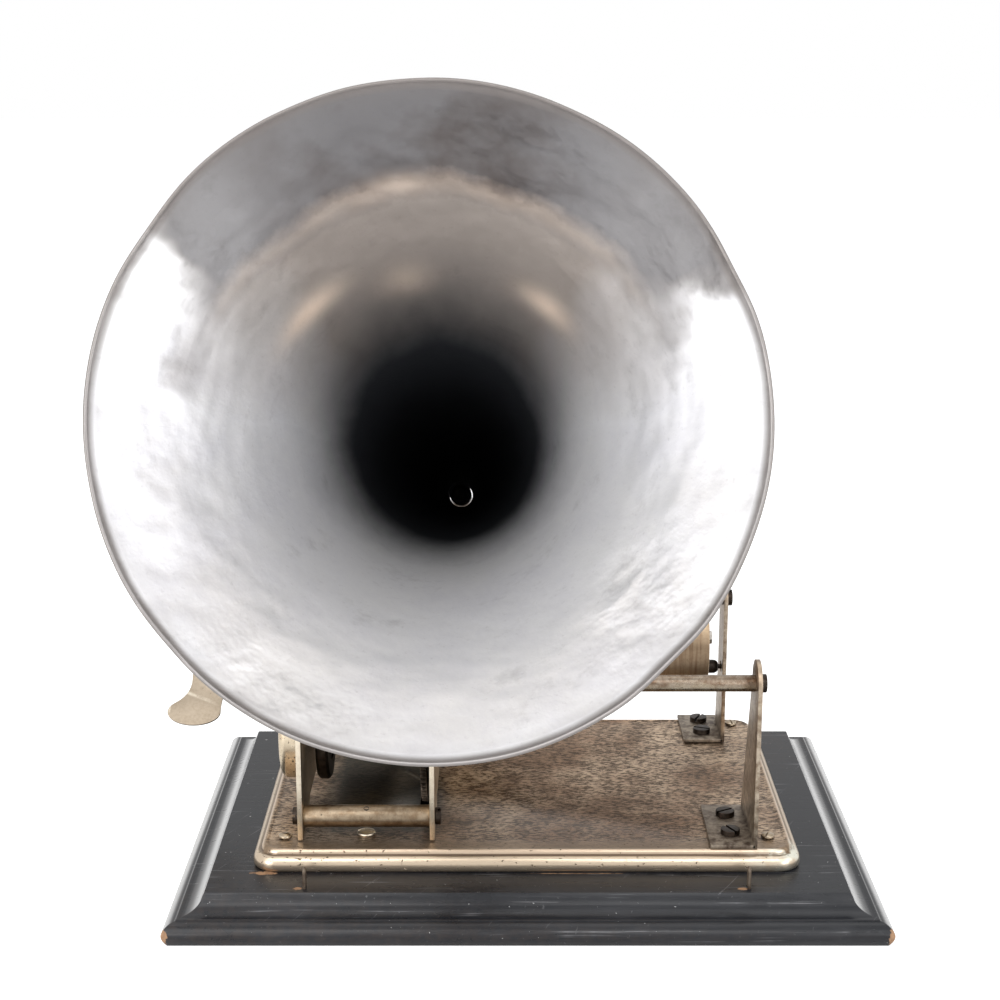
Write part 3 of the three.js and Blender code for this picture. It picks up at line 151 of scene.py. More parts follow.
class Tree:
    """A thin helper that adds and links shader nodes in one tree."""

    def __init__(self, tree: bpy.types.NodeTree) -> None:
        """Keeps the material's or the group's node tree."""
        self.tree = tree
        self.count = 0

    def add(self, kind: str, inputs: dict | None = None, **settings: object) -> bpy.types.Node:
        """Adds one node.

        Args:
            kind: the node's type name without its ShaderNode prefix.
            inputs: values or sockets by input name or index.
            settings: the node's own properties.

        Returns:
            The new node.
        """
        node = self.tree.nodes.new(f"ShaderNode{kind}")
        self.count += 1
        node.location = (180 * self.count, -60 * (self.count % 7))
        for name, value in settings.items():
            setattr(node, name, value)
        self.fill(node, inputs or {})
        return node

    def fill(self, node: bpy.types.Node, inputs: dict) -> None:
        """Feeds several inputs of a node, by name or index."""
        for name, value in inputs.items():
            self.feed(node.inputs[name], value)

    def feed(self, socket: bpy.types.NodeSocket, value: object) -> None:
        """Links a socket, or sets its value.

        Args:
            socket: the input to feed.
            value: another node's output, or a plain value.
        """
        if isinstance(value, Value):
            value = value.socket
        if isinstance(value, bpy.types.NodeSocket):
            self.tree.links.new(value, socket)
        elif isinstance(value, tuple) and len(value) == 3 and socket.type == "RGBA":
            socket.default_value = (*value, 1.0)
        else:
            socket.default_value = value

    def out(self, kind: str, output: str | int, inputs: dict | None = None, **settings: object) -> Value:
        """Adds one node and returns one of its outputs."""
        return Value(self, self.add(kind, inputs, **settings).outputs[output])

    def noise(self, vector: object, scale: float, detail: float = 3.0, rough: float = 0.55) -> Value:
        """Returns a noise value over the surface."""
        inputs = {"Vector": vector, "Scale": scale, "Detail": detail, "Roughness": rough}
        return self.out("TexNoise", "Fac", inputs)

    def stretch(self, vector: object, scale: Triple) -> Value:
        """Returns coordinates scaled differently along each axis."""
        return self.out("Mapping", "Vector", {"Vector": vector, "Scale": scale})

    def streaks(self, vector: object, scale: Triple, detail: float, rough: float) -> Value:
        """Returns a noise value that is drawn out along an axis."""
        return self.noise(self.stretch(vector, scale), 1.0, detail, rough)

    def band(self, value: object, low: object, high: object, top: float = 1.0) -> Value:
        """Returns value mapped from low..high to 0..top, clamped."""
        inputs = {"Value": value, "From Min": low, "From Max": high, "To Min": 0.0, "To Max": top}
        return self.out("MapRange", "Result", inputs, clamp=True)

    def maths(self, operation: str, first: object, second: object = 0.5) -> Value:
        """Returns the result of one maths operation."""
        return self.out("Math", "Value", {0: first, 1: second}, operation=operation)

    def most(self, first: object, second: object) -> Value:
        """Returns the greater of two values."""
        return self.maths("MAXIMUM", first, second)

    def blend(self, factor: object, first: object, second: object) -> Value:
        """Returns a colour between two."""
        return self.out("Mix", 2, {0: factor, 6: first, 7: second}, data_type="RGBA")

    def mix(self, factor: object, first: object, second: object) -> Value:
        """Returns a number between two."""
        return self.out("Mix", 0, {0: factor, 2: first, 3: second}, data_type="FLOAT")

    def parts(self, vector: object) -> list[Value]:
        """Returns the x, y and z of a vector."""
        return [Value(self, socket) for socket in self.add("SeparateXYZ", {0: vector}).outputs]

    def place(self) -> Value:
        """Returns the object coordinates, in metres."""
        return self.out("TexCoord", "Object")

    def facing(self) -> Value:
        """Returns the surface's direction."""
        return self.out("TexCoord", "Normal")


class Effects:
    """Node groups for the effects that several finishes share, each built once."""

    @staticmethod
    def start(name: str, inputs: dict[str, object], outputs: dict[str, str]) -> tuple:
        """Makes an empty group with its sockets.

        Args:
            name: the group's name.
            inputs: default values by input name; a 3-tuple is a colour.
            outputs: socket types by output name.

        Returns:
            The group, its tree helper, its inputs by name and its output node.
        """
        group = bpy.data.node_groups.new(name, "ShaderNodeTree")
        for label, value in inputs.items():
            kind = "NodeSocketColor" if isinstance(value, tuple) else "NodeSocketFloat"
            socket = group.interface.new_socket(name=label, in_out="INPUT", socket_type=kind)
            socket.default_value = (*value, 1.0) if isinstance(value, tuple) else value
        for label, kind in outputs.items():
            group.interface.new_socket(name=label, in_out="OUTPUT", socket_type=kind)
        tree = Tree(group)
        given = group.nodes.new("NodeGroupInput").outputs
        source = {label: Value(tree, given[label]) for label in inputs}
        return group, tree, source, group.nodes.new("NodeGroupOutput")

    @classmethod
    @cache
    def tarnish(cls) -> bpy.types.NodeTree:
        """Builds the group of clouded plating with stains, pits and fine grain.

        Returns:
            The node group.
        """
        inputs = {
            "Base": (0.5, 0.5, 0.5), "Shade": (0.3, 0.3, 0.3), "Stain": (0.3, 0.1, 0.05),
            "Pit": (0.05, 0.03, 0.02), "Stain Amount": 0.3, "Pit Amount": 0.3, "Roughness": 0.35,
        }
        outputs = {
            "Color": "NodeSocketColor", "Roughness": "NodeSocketFloat", "Height": "NodeSocketFloat",
        }
        group, tree, source, sink = cls.start("tarnish", inputs, outputs)
        place = tree.place()
        cloud = tree.noise(place, 42.0, 4.0, 0.6)
        grain = tree.noise(place, 900.0, 3.0, 0.7)
        fine = tree.noise(place, 2600.0, 2.0, 0.6)
        patch = tree.noise(place, 95.0, 5.0, 0.65)
        spots = tree.noise(place, 820.0, 2.0, 0.5)
        shade = tree.band(cloud, 0.36, 0.68, 0.7) + tree.band(grain, 0.45, 0.75, 0.35)
        colour = tree.blend(shade, source["Base"], source["Shade"])
        stain_edge = source["Stain Amount"] * -0.22 + 0.70
        stain = tree.band(patch, stain_edge, 0.74)
        colour = tree.blend(stain * 0.8, colour, source["Stain"])
        pit_edge = source["Pit Amount"] * -0.14 + 0.775
        pit = tree.band(spots, pit_edge, pit_edge + 0.035)
        colour = tree.blend(pit * 0.9, colour, source["Pit"])
        rough = source["Roughness"] + (grain - 0.5) * 0.35 + (stain * 0.3 + pit * 0.4)
        tree.fill(sink, {"Color": colour, "Roughness": rough, "Height": fine * 0.25 - pit * 0.8})
        return group

    @classmethod
    @cache
    def edges(cls) -> bpy.types.NodeTree:
        """Builds the group that masks worn outer edges, and inner corners for painted shade.

        Returns:
            The node group.
        """
        outputs = {"Worn": "NodeSocketFloat", "Corner Shade": "NodeSocketFloat"}
        group, tree, source, sink = cls.start("edge_wear_and_corner_shade", {"Amount": 1.0}, outputs)
        point = tree.out("NewGeometry", "Pointiness")
        breakup = tree.noise(tree.place(), 300.0, 4.0, 0.65)
        worn = tree.band(point, 0.53, 0.60) * tree.band(breakup, 0.36, 0.62)
        # Painted shade: concave corners, found by pointiness, are masked for darkening.
        corner_shade = tree.band(point, 0.48, 0.42)
        tree.fill(sink, {"Worn": worn * source["Amount"], "Corner Shade": corner_shade * source["Amount"]})
        return group

    @classmethod
    @cache
    def scratches(cls) -> bpy.types.NodeTree:
        """Builds the group of fine hairline scratches that cross two ways.

        Returns:
            The node group.
        """
        group, tree, source, sink = cls.start("hairlines", {"Amount": 0.5}, {"Mask": "NodeSocketFloat"})
        place = tree.place()
        one = tree.streaks(place, (22.0, 900.0, 900.0), 2.0, 0.4)
        turned = tree.out("Mapping", "Vector", {"Vector": place, "Rotation": (0.0, 0.0, 0.5)})
        two = tree.streaks(turned, (1100.0, 35.0, 700.0), 2.0, 0.4)
        lines = tree.most(tree.band(one, 0.66, 0.72), tree.band(two, 0.69, 0.74, 0.7))
        patch = tree.band(tree.noise(place, 60.0, 3.0, 0.6), 0.42, 0.62)
        tree.fill(sink, {"Mask": lines * patch * source["Amount"]})
        return group


def use_group(tree: Tree, group: bpy.types.NodeTree, inputs: dict) -> dict[str, Value]:
    """Places a group in a tree.

    Args:
        tree: the tree that takes it.
        group: the node group.
        inputs: its values.

    Returns:
        Its outputs by name.
    """
    node = tree.tree.nodes.new("ShaderNodeGroup")
    node.node_tree = group
    tree.fill(node, inputs)
    return {socket.name: Value(tree, socket) for socket in node.outputs}


def new_material(name: str) -> tuple[bpy.types.Material, Tree, bpy.types.Node]:
    """Makes a material with a Principled shader.

    Args:
        name: its name.

    Returns:
        The material, its tree helper and the shader node.
    """
    material = bpy.data.materials.new(name)
    material.use_nodes = True
    shader = material.node_tree.nodes["Principled BSDF"]
    return material, Tree(material.node_tree), shader


def bumped(tree: Tree, shader: bpy.types.Node, height: object, strength: float, depth: float) -> None:
    """Feeds a height to the shader's normal.

    Args:
        tree: the material's tree.
        shader: its shader.
        height: the height's socket.
        strength: how strongly it shows.
        depth: the relief's depth in metres.
    """
    inputs = {"Height": height, "Strength": strength, "Distance": depth}
    tree.fill(shader, {"Normal": tree.out("Bump", "Normal", inputs)})


@dataclass(frozen=True)
class Metal:
    """A plated or bare metal, clouded, stained and pitted, with bright worn edges."""

    name: str
    base: Colour
    shade: Colour
    stain: Colour
    pit: Colour
    edge: Colour
    rough: float
    stains: float
    pits: float
    wear: float = 1.0
    relief: float = 0.25
    metallic: float = 1.0
    upward_browning: float = 0.0
    hoops: float = 0.0
    side_shade: float = 0.0
    browned_below: float = 0.0

    def make(self) -> bpy.types.Material:
        """Builds the material.

        Optional touches: browning of what faces up, hoops that are strokes round an X axis, painted
        shade on what faces along X, and browned_below, the height under which dirt has gathered.

        Returns:
            The material.
        """
        material, tree, shader = new_material(self.name)
        tarnish = use_group(tree, Effects.tarnish(), {
            "Base": self.base, "Shade": self.shade, "Stain": self.stain, "Pit": self.pit,
            "Stain Amount": self.stains, "Pit Amount": self.pits, "Roughness": self.rough,
        })
        edges = use_group(tree, Effects.edges(), {"Amount": self.wear})
        colour = tarnish["Color"]
        place = tree.place()
        # Darkens what faces up towards the stain colour, in ragged streaks.
        if self.upward_browning:
            upwards = tree.parts(tree.facing())[2]
            ragged = tree.streaks(place, (130.0, 300.0, 300.0), 4.0, 0.7)
            brown = tree.band(upwards + (ragged - 0.5) * 1.9, -0.15, 0.35, self.upward_browning)
            colour = tree.blend(brown, colour, self.stain)
        # Painted shade: what faces along X is blended towards the shade colour.
        if self.side_shade:
            sideways = abs(tree.parts(tree.facing())[0])
            colour = tree.blend(tree.band(sideways, 0.7, 0.95, self.side_shade), colour, self.shade)
        if self.hoops:
            stroke = tree.streaks(place, (900.0, 40.0, 40.0), 3.0, 0.6)
            colour = tree.blend(tree.band(stroke, 0.45, 0.72, self.hoops), colour, self.stain)
        low, rough = 0.0, tarnish["Roughness"]
        if self.browned_below:
            height = tree.parts(place)[2]
            low = tree.band(height, self.browned_below + 4 * MM, self.browned_below, 0.9)
            colour = tree.blend(low, colour, self.pit)
            rough = tree.mix(low, rough, 0.55)
        colour = tree.blend(edges["Worn"] * (1.0 - low * 0.6), colour, self.edge)
        # Painted shade: inner corners are darkened towards the pit colour.
        colour = tree.blend(edges["Corner Shade"] * 0.7, colour, self.pit)
        metallic = tree.mix(low, self.metallic, 0.8)
        tree.fill(shader, {"Base Color": colour, "Roughness": rough, "Metallic": metallic})
        bumped(tree, shader, tarnish["Height"], self.relief, 0.15 * MM)
        return material


NICKEL = Metal(
    "tarnished_nickel", (0.46, 0.38, 0.28), (0.25, 0.19, 0.13), (0.16, 0.075, 0.04),
    (0.05, 0.03, 0.02), (0.80, 0.72, 0.58), 0.34, 0.4, 0.4,
)
ROD_NICKEL = Metal(
    "rod_nickel", (0.32, 0.258, 0.185), (0.165, 0.12, 0.082), (0.11, 0.06, 0.036),
    (0.05, 0.03, 0.02), (0.80, 0.74, 0.62), 0.28, 0.55, 0.5, upward_browning=0.75,
)
# The motor plates carry painted shade on their broad faces, which face along X.
PLATE_NICKEL = Metal(
    "plate_nickel", (0.93, 0.82, 0.66), (0.56, 0.46, 0.335), (0.33, 0.20, 0.12),
    (0.08, 0.055, 0.035), (0.92, 0.84, 0.68), 0.34, 0.35, 0.4, side_shade=0.9,
)
KEY_NICKEL = Metal(
    "key_nickel", (0.28, 0.235, 0.183), (0.23, 0.187, 0.137), (0.17, 0.10, 0.048),
    (0.10, 0.065, 0.035), (0.50, 0.45, 0.37), 0.44, 0.18, 0.3,
)
MANDREL_NICKEL = Metal(
    "mandrel_nickel", (0.40, 0.30, 0.20), (0.22, 0.155, 0.10), (0.15, 0.08, 0.045),
    (0.05, 0.03, 0.02), (0.80, 0.72, 0.58), 0.36, 0.45, 0.3, hoops=0.8,
)
BRACKET_NICKEL = Metal(
    "bracket_nickel", (0.33, 0.25, 0.18), (0.17, 0.12, 0.085), (0.11, 0.05, 0.03),
    (0.062, 0.042, 0.031), (0.78, 0.68, 0.54), 0.38, 0.5, 0.45, browned_below=26 * MM,
)
PALE_NICKEL = Metal(
    "pale_nickel", (0.74, 0.66, 0.53), (0.60, 0.51, 0.38), (0.36, 0.20, 0.08),
    (0.20, 0.12, 0.06), (0.88, 0.82, 0.70), 0.38, 0.12, 0.2,
)
CUP_NICKEL = Metal(
    "cup_nickel", (0.84, 0.73, 0.56), (0.59, 0.48, 0.34), (0.30, 0.175, 0.10),
    (0.07, 0.045, 0.025), (0.90, 0.83, 0.68), 0.32, 0.3, 0.95,
)
PILLAR_NICKEL = Metal(
    "pillar_nickel", (0.26, 0.188, 0.122), (0.145, 0.10, 0.062), (0.12, 0.068, 0.036),
    (0.05, 0.032, 0.02), (0.70, 0.61, 0.46), 0.38, 0.35, 0.6,
)
STEEL = Metal(
    "bright_steel", (0.42, 0.39, 0.35), (0.25, 0.22, 0.20), (0.16, 0.09, 0.055),
    (0.05, 0.04, 0.03), (0.75, 0.72, 0.67), 0.3, 0.3, 0.35,
)
DARK_STEEL = Metal(
    "browned_steel", (0.040, 0.030, 0.024), (0.020, 0.016, 0.014), (0.085, 0.040, 0.024),
    (0.010, 0.008, 0.007), (0.24, 0.19, 0.15), 0.42, 0.35, 0.4, 0.5,
)
BRASS = Metal(
    "cut_brass", (0.56, 0.39, 0.16), (0.34, 0.225, 0.09), (0.20, 0.11, 0.05),
    (0.07, 0.045, 0.03), (0.80, 0.62, 0.32), 0.34, 0.3, 0.3,
)


@dataclass(frozen=True)
class BedFinish:
    """Nickel plate of the bed: streaked stipple, rust in the middle, bright battered rim."""

    name: str = "bed_plate_nickel"
    ridge: Colour = (0.57, 0.435, 0.31)
    hollow: Colour = (0.085, 0.055, 0.034)
    rust: Colour = (0.185, 0.088, 0.042)
    rim: Colour = (0.61, 0.48, 0.36)
    bead: Colour = (0.62, 0.51, 0.385)
    bead_top: float = 20.9 * MM
    worn: Colour = (0.80, 0.79, 0.68)
    pit: Colour = (0.055, 0.032, 0.02)
    # Colour and box of the painted shade and dark reflection on the panel under the motor.
    motor_shade: Colour = (0.045, 0.043, 0.034)
    motor_shade_box: tuple[Point, Point] = ((-80 * MM, -37 * MM), (-45 * MM, 45 * MM))
    strip: tuple[Colour, Colour] = ((0.34, 0.25, 0.165), (0.20, 0.14, 0.09))
    strip_y: float = -52.5 * MM
    panel_half: Point = (99.9 * MM, 68.3 * MM)
    centre_y: float = 7.4 * MM

    def motor_shade_mask(self, tree: Tree, x: Value, y: Value) -> Value:
        """Returns the mask of the painted shade and dark reflection on the panel under the motor.

        Args:
            tree: the material's tree.
            x: the place across, in metres.
            y: the place from front to back, in metres.

        Returns:
            The mask.
        """
        (x0, x1), (y0, y1) = self.motor_shade_box
        soft = 5 * MM
        motor_shade = tree.band(x, x0 - soft, x0 + soft) * tree.band(x, x1 + soft, x1 - soft)
        return motor_shade * tree.band(y, y0 - soft, y0 + soft) * tree.band(y, y1 + soft, y1 - soft, 0.9)

    def rim_colour(self, tree: Tree, z: Value, grain: Value, chalk: Value) -> Value:
        """Returns the colour of the raised rim and the bead below it, with painted shade in the groove
        between them.

        Args:
            tree: the material's tree.
            z: the height, in metres.
            grain: the fine noise.
            chalk: the mask of the pale corner.

        Returns:
            The colour.
        """
        high = tree.band(z, self.bead_top, self.bead_top + 0.2 * MM)
        colour = tree.blend(high, self.bead, self.rim)
        colour = tree.blend(tree.band(grain, 0.42, 0.75, 0.5), colour, self.ridge)
        # Painted shade: a dark line in the pit colour along the groove between the bead and the rim.
        off = abs(z - (self.bead_top + 0.25 * MM))
        colour = tree.blend(tree.band(off, 0.45 * MM, 0.2 * MM, 0.8), colour, self.pit)
        return tree.blend(chalk, colour, self.worn)

    def make(self) -> bpy.types.Material:
        """Builds the material.

        Returns:
            The material.
        """
        material, tree, shader = new_material(self.name)
        place = tree.place()
        x, y, z = tree.parts(place)
        bent = tree.noise(place, 90.0, 3.0, 0.6)
        streak = tree.streaks(place, (420.0, 1150.0, 900.0), 3.0, 0.62)
        grain = tree.noise(place, 1900.0, 3.0, 0.65)
        cloud = tree.noise(place, 24.0, 4.0, 0.6)
        spots = tree.streaks(place, (600.0, 1200.0, 900.0), 2.0, 0.5)
        across = abs(x) / self.panel_half[0]
        along = abs(y - self.centre_y) / self.panel_half[1]
        rim = tree.band(tree.most(across, along), 1.0, 1.008)
        tone = streak * 0.8 + grain * 0.2 + (bent - 0.5) * 0.25
        colour = tree.blend(tree.band(tone, 0.43, 0.57), self.ridge, self.hollow)
        rust = tree.band(cloud + across * -0.14, 0.34, 0.56, 0.72)
        flecked = tree.blend(tree.band(tone, 0.42, 0.56), self.rust, self.hollow)
        colour = tree.blend(rust, colour, flecked)
        front = tree.band(y + bent * (6 * MM), self.strip_y + 5 * MM, self.strip_y, 0.75)
        colour = tree.blend(front, colour, tree.blend(cloud, *self.strip))
        # Painted shade: the panel under the motor is darkened to an olive grey, for its shadow and the
        # motor's reflection.
        motor_shade = self.motor_shade_mask(tree, x, y)
        colour = tree.blend(motor_shade, colour, self.motor_shade)
        corner = tree.band(x, 82 * MM, 100 * MM) * tree.band(y, -45 * MM, -60 * MM)
        chalk = corner * tree.band(bent, 0.40, 0.55)
        colour = tree.blend(rim, colour, self.rim_colour(tree, z, grain, chalk))
        pits = tree.band(spots, 0.68, 0.72)
        colour = tree.blend(pits * 0.85, colour, self.pit)
        edges = use_group(tree, Effects.edges(), {"Amount": 0.8})
        # Painted shade: inner corners are darkened towards the pit colour.
        colour = tree.blend(edges["Corner Shade"] * 0.8, colour, self.pit)
        rough = tree.mix(rim, 0.42, 0.28) + pits * 0.3
        tree.fill(shader, {"Base Color": colour, "Roughness": rough, "Metallic": 0.9})
        calm = tree.most(rim, tree.most(motor_shade, front))
        relief = tone * tree.mix(calm, -1.0, -0.12) - pits
        bumped(tree, shader, relief, 0.85, 0.35 * MM)
        return material


@dataclass(frozen=True)
class PaintedWood:
    """Black paint on wood: satin, scratched, with bare wood at chipped corners."""

    name: str = "black_painted_wood"
    paint: Colour = (0.010, 0.011, 0.014)
    faded: Colour = (0.034, 0.035, 0.040)
    scratch: Colour = (0.20, 0.20, 0.21)
    bare: Colour = (0.50, 0.31, 0.18)
    bare_dark: Colour = (0.16, 0.08, 0.045)
    # The grey of the painted sheen on the side mouldings.
    side_sheen: Colour = (0.50, 0.50, 0.50)
    speck: Colour = (0.55, 0.55, 0.55)
    half: Point = (134 * MM, 96.5 * MM)
    knocks: tuple[tuple[float, float, float, float], ...] = (
        (-99.5, -65.6, 7.0, 2.4), (-85.8, -79.0, 2.8, 1.7), (80.2, -79.0, 2.6, 1.7),
        (20.0, -66.0, 30.0, 0.35),
    )

    def knocked(self, tree: Tree, x: Value, y: Value) -> Value:
        """Returns the mask of the knocks on the flat, each an oval in millimetres.

        Args:
            tree: the material's tree.
            x: the place across, in metres.
            y: the place from front to back, in metres.

        Returns:
            The mask's socket.
        """
        total = 0.0
        for at_x, at_y, wide, deep in self.knocks:
            across = (x - at_x * MM) / (wide * MM)
            along = (y - at_y * MM) / (deep * MM)
            gap = across ** 2.0 + along ** 2.0
            total = tree.maths("EXPONENT", gap * -1.0) + total
        return total

    def make(self) -> bpy.types.Material:
        """Builds the material.

        Returns:
            The material.
        """
        material, tree, shader = new_material(self.name)
        place = tree.place()
        x, y, _ = tree.parts(place)
        cloud = tree.noise(place, 30.0, 4.0, 0.65)
        grain = tree.streaks(place, (40.0, 520.0, 520.0), 3.0, 0.6)
        tone = tree.band(cloud, 0.35, 0.75) * tree.band(grain, 0.3, 0.75)
        colour = tree.blend(tone, self.paint, self.faded)
        lines = use_group(tree, Effects.scratches(), {"Amount": 0.55})["Mask"]
        colour = tree.blend(lines, colour, self.scratch)
        specks = tree.band(tree.noise(place, 900.0, 2.0, 0.5), 0.755, 0.78)
        colour = tree.blend(specks, colour, self.speck)
        reach_x = abs(x) / self.half[0]
        reach_y = abs(y) / self.half[1]
        corner = tree.band(reach_x, 0.955, 1.0) * tree.band(reach_y, 0.945, 1.0)
        ragged = corner + tree.noise(place, 190.0, 4.0, 0.7) * 0.9
        chip = tree.band(ragged, 1.02, 1.07)
        edges = use_group(tree, Effects.edges(), {"Amount": 0.5})
        chips = tree.most(chip, edges["Worn"] * 0.08)
        rough_spot = tree.noise(place, 420.0, 4.0, 0.7) * self.knocked(tree, x, y)
        chips = tree.most(chips, tree.band(rough_spot, 0.30, 0.38))
        wood = tree.blend(tree.noise(place, 500.0, 3.0, 0.6), self.bare, self.bare_dark)
        facing = tree.parts(tree.facing())
        grazing = tree.band(tree.out("LayerWeight", "Facing"), 0.50, 0.70)
        # Painted reflection: sideways faces seen at a grazing angle are lifted to grey, with a clear
        # coat.
        side_sheen = tree.band(abs(facing[0]), 0.12, 0.45) * grazing
        colour = tree.blend(side_sheen * 0.8, colour, self.side_sheen)
        colour = tree.blend(chips, colour, wood)
        level = tree.band(facing[2], 0.98, 0.999)
        tree.fill(shader, {
            "Base Color": colour, "Roughness": tree.mix(chips, tone * 0.20 + 0.26, 0.75),
            "Specular IOR Level": tree.mix(side_sheen, tree.mix(level, 0.36, 0.18), 1.0),
            "Coat Weight": side_sheen, "Coat Roughness": 0.12,
        })
        relief = grain * 0.3 - (chips + lines)
        bumped(tree, shader, relief, 0.4, 0.2 * MM)
        return material


@dataclass(frozen=True)
class HornPlace:
    """A place on the horn in its own axes, and the noises that its finish shares."""

    local: Value
    share: Value
    angle: Value
    up: Value
    outwards: Value
    cloud: Value
    wisps: Value
    fine: Value
    stain: Value


@dataclass(frozen=True)
class HornMetal:
    """Spun aluminium: cloudy and brushed, darker and browner above by painted shade and reflection, and
    painted shade towards the throat.
    """

    name: str = "spun_aluminium"
    bright: Colour = (0.985, 0.985, 0.99)
    cool: Colour = (0.86, 0.86, 0.895)
    # brown, grey, side and inner paint the shade and dark reflection over the upper inside; brown and
    # grey are also stains.
    brown: Colour = (0.080, 0.068, 0.065)
    grey_stain_and_shade: Colour = (0.155, 0.151, 0.155)
    side: Colour = (0.32, 0.315, 0.32)
    inner: Colour = (0.33, 0.285, 0.25)
    # The colour of the painted warm reflections.
    tan: Colour = (0.98, 0.80, 0.65)
    # The near-black of the painted shade deep in the throat.
    throat_shade: Colour = (0.022, 0.024, 0.029)
    lip: Colour = (0.20, 0.18, 0.17)
    outside: Colour = (0.48, 0.465, 0.45)
    weathered: Colour = (0.33, 0.312, 0.298)
    throat: Triple = HORN_THROAT
    tilt: float = HORN_TILT
    length: float = HORN_LENGTH
    # Painted warm reflections in the flare.
    reflection_spots: tuple[Spot, ...] = (
        (0.841, 134.6, 0.014, 12.0, 0.95), (0.828, 51.6, 0.016, 10.0, 0.9),
        (0.814, 101.6, 0.022, 9.0, 0.55), (0.924, 97.0, 0.009, 10.0, 0.4),
    )
    rumples: tuple[Spot, ...] = (
        (0.975, 148.0, 0.04, 16.0, 1.0), (0.975, 28.0, 0.04, 14.0, 1.0), (0.97, -118.0, 0.03, 18.0, 1.0),
        (0.96, 75.0, 0.04, 24.0, 1.0), (0.95, -40.0, 0.05, 14.0, 1.0),
    )

    def glow(self, tree: Tree, at: HornPlace, spots: Sequence[Spot]) -> Value:
        """Returns the mask of some soft spots in the flare.

        Args:
            tree: the material's tree.
            at: the place's values.
            spots: each one's share, angle in degrees, width, arc and strength.

        Returns:
            The mask's socket.
        """
        total = 0.0
        for share, angle, wide, arc, strong in spots:
            along = (at.share - share) / wide
            around = (at.angle - angle) / arc
            gap = along ** 2.0 + around ** 2.0
            total = tree.maths("EXPONENT", gap * -1.0) * strong + total
        return total

    def survey(self, tree: Tree) -> HornPlace:
        """Works out where a place lies on the horn.

        Args:
            tree: the material's tree.

        Returns:
            The place's values.
        """
        turned = (math.radians(90 - self.tilt), 0.0, 0.0)
        inputs = {"Vector": tree.place(), "Location": self.throat, "Rotation": turned}
        local = tree.out("Mapping", "Vector", inputs, vector_type="TEXTURE")
        inputs = {"Vector": tree.facing(), "Rotation": turned}
        leaning = tree.out("Mapping", "Vector", inputs, vector_type="TEXTURE")
        x, y, z = tree.parts(local)
        lean_x, lean_y, _ = tree.parts(leaning)
        share = z / self.length
        reach = tree.maths("SQRT", x ** 2.0 + y ** 2.0)
        up = y / reach
        rounded = tree.out("CombineXYZ", "Vector", {0: x / reach, 1: up, 2: share * 3.5})
        return HornPlace(
            local=local, share=share, angle=tree.maths("ARCTAN2", y, x) * (180 / math.pi), up=up,
            outwards=(lean_x * x + lean_y * y) / reach, cloud=tree.noise(rounded, 2.8, 3.0, 0.5),
            wisps=tree.streaks(local, (24.0, 24.0, 12.0), 6.0, 0.68),
            fine=tree.noise(local, 700.0, 3.0, 0.65), stain=tree.noise(local, 60.0, 6.0, 0.7),
        )

    def inside(self, tree: Tree, at: HornPlace) -> tuple[Value, Value]:
        """Colours the inside: bright metal, painted shade and dark reflection over the upper zone, stains
        and painted warm glints.

        Args:
            tree: the material's tree.
            at: the place's values.

        Returns:
            The colour, and the mask of the upper zone's painted shade.
        """
        colour = tree.blend(tree.band(at.wisps, 0.40, 0.66), self.bright, self.cool)
        place_in = at.share + (at.wisps - 0.5) * 0.05
        rim = tree.band(at.share, 0.90, 0.97)
        ragged = at.up + (at.cloud - 0.5) * tree.mix(rim, 0.35, 1.1)
        # Painted shade: the upper zone, darkened for the dark surroundings that it reflects.
        top = tree.band(ragged, tree.mix(rim, 0.12, 0.38), tree.mix(rim, 0.75, 0.52))
        deep = tree.band(at.share, 0.62, 0.72)
        outer = tree.band(place_in, 0.905, 0.925)
        mottle = tree.band(tree.noise(at.local, 34.0, 4.0, 0.6), 0.40, 0.62)
        upper_shade_tone = tree.blend(mottle, self.brown, self.grey_stain_and_shade)
        upper_shade_tone = tree.blend(tree.band(at.up, 0.96, 0.72, 0.75), upper_shade_tone, self.side)
        # Painted shade over the upper zone: inner colour deeper in, a brown and grey mottle near the
        # mouth, lighter off the very top.
        colour = tree.blend(top * deep * 0.95, colour, self.inner)
        colour = tree.blend(top * outer * 0.97, colour, upper_shade_tone)
        colour = tree.blend(tree.band(at.stain, 0.58, 0.76, 0.25), colour, self.brown)
        # Painted reflection: a lighter arc round the upper flare and warm spots, in the tan colour.
        halo = tree.band(ragged, 0.4, 0.8) * tree.band(place_in, 0.936, 0.923)
        halo = halo * tree.band(place_in, 0.908, 0.919, 0.24)
        painted_glints = tree.most(self.glow(tree, at, self.reflection_spots), halo)
        return tree.blend(painted_glints, colour, self.tan), top

    def relief(self, tree: Tree, at: HornPlace) -> Value:
        """Returns the height of the clouds, the hammer waves and the rumpled lip.

        Args:
            tree: the material's tree.
            at: the place's values.

        Returns:
            The height.
        """
        knocks = tree.noise(at.local, 46.0, 2.0, 0.5)
        fold = tree.noise(at.local, 82.0, 3.0, 0.5) * self.glow(tree, at, self.rumples)
        wave = knocks * tree.band(at.share, 0.78, 0.93)
        return at.wisps * 0.45 + at.fine * 0.02 + wave * 2.0 - fold * 2.0

    def make(self) -> bpy.types.Material:
        """Builds the material.

        Returns:
            The material.
        """
        material, tree, shader = new_material(self.name)
        at = self.survey(tree)
        colour, top = self.inside(tree, at)
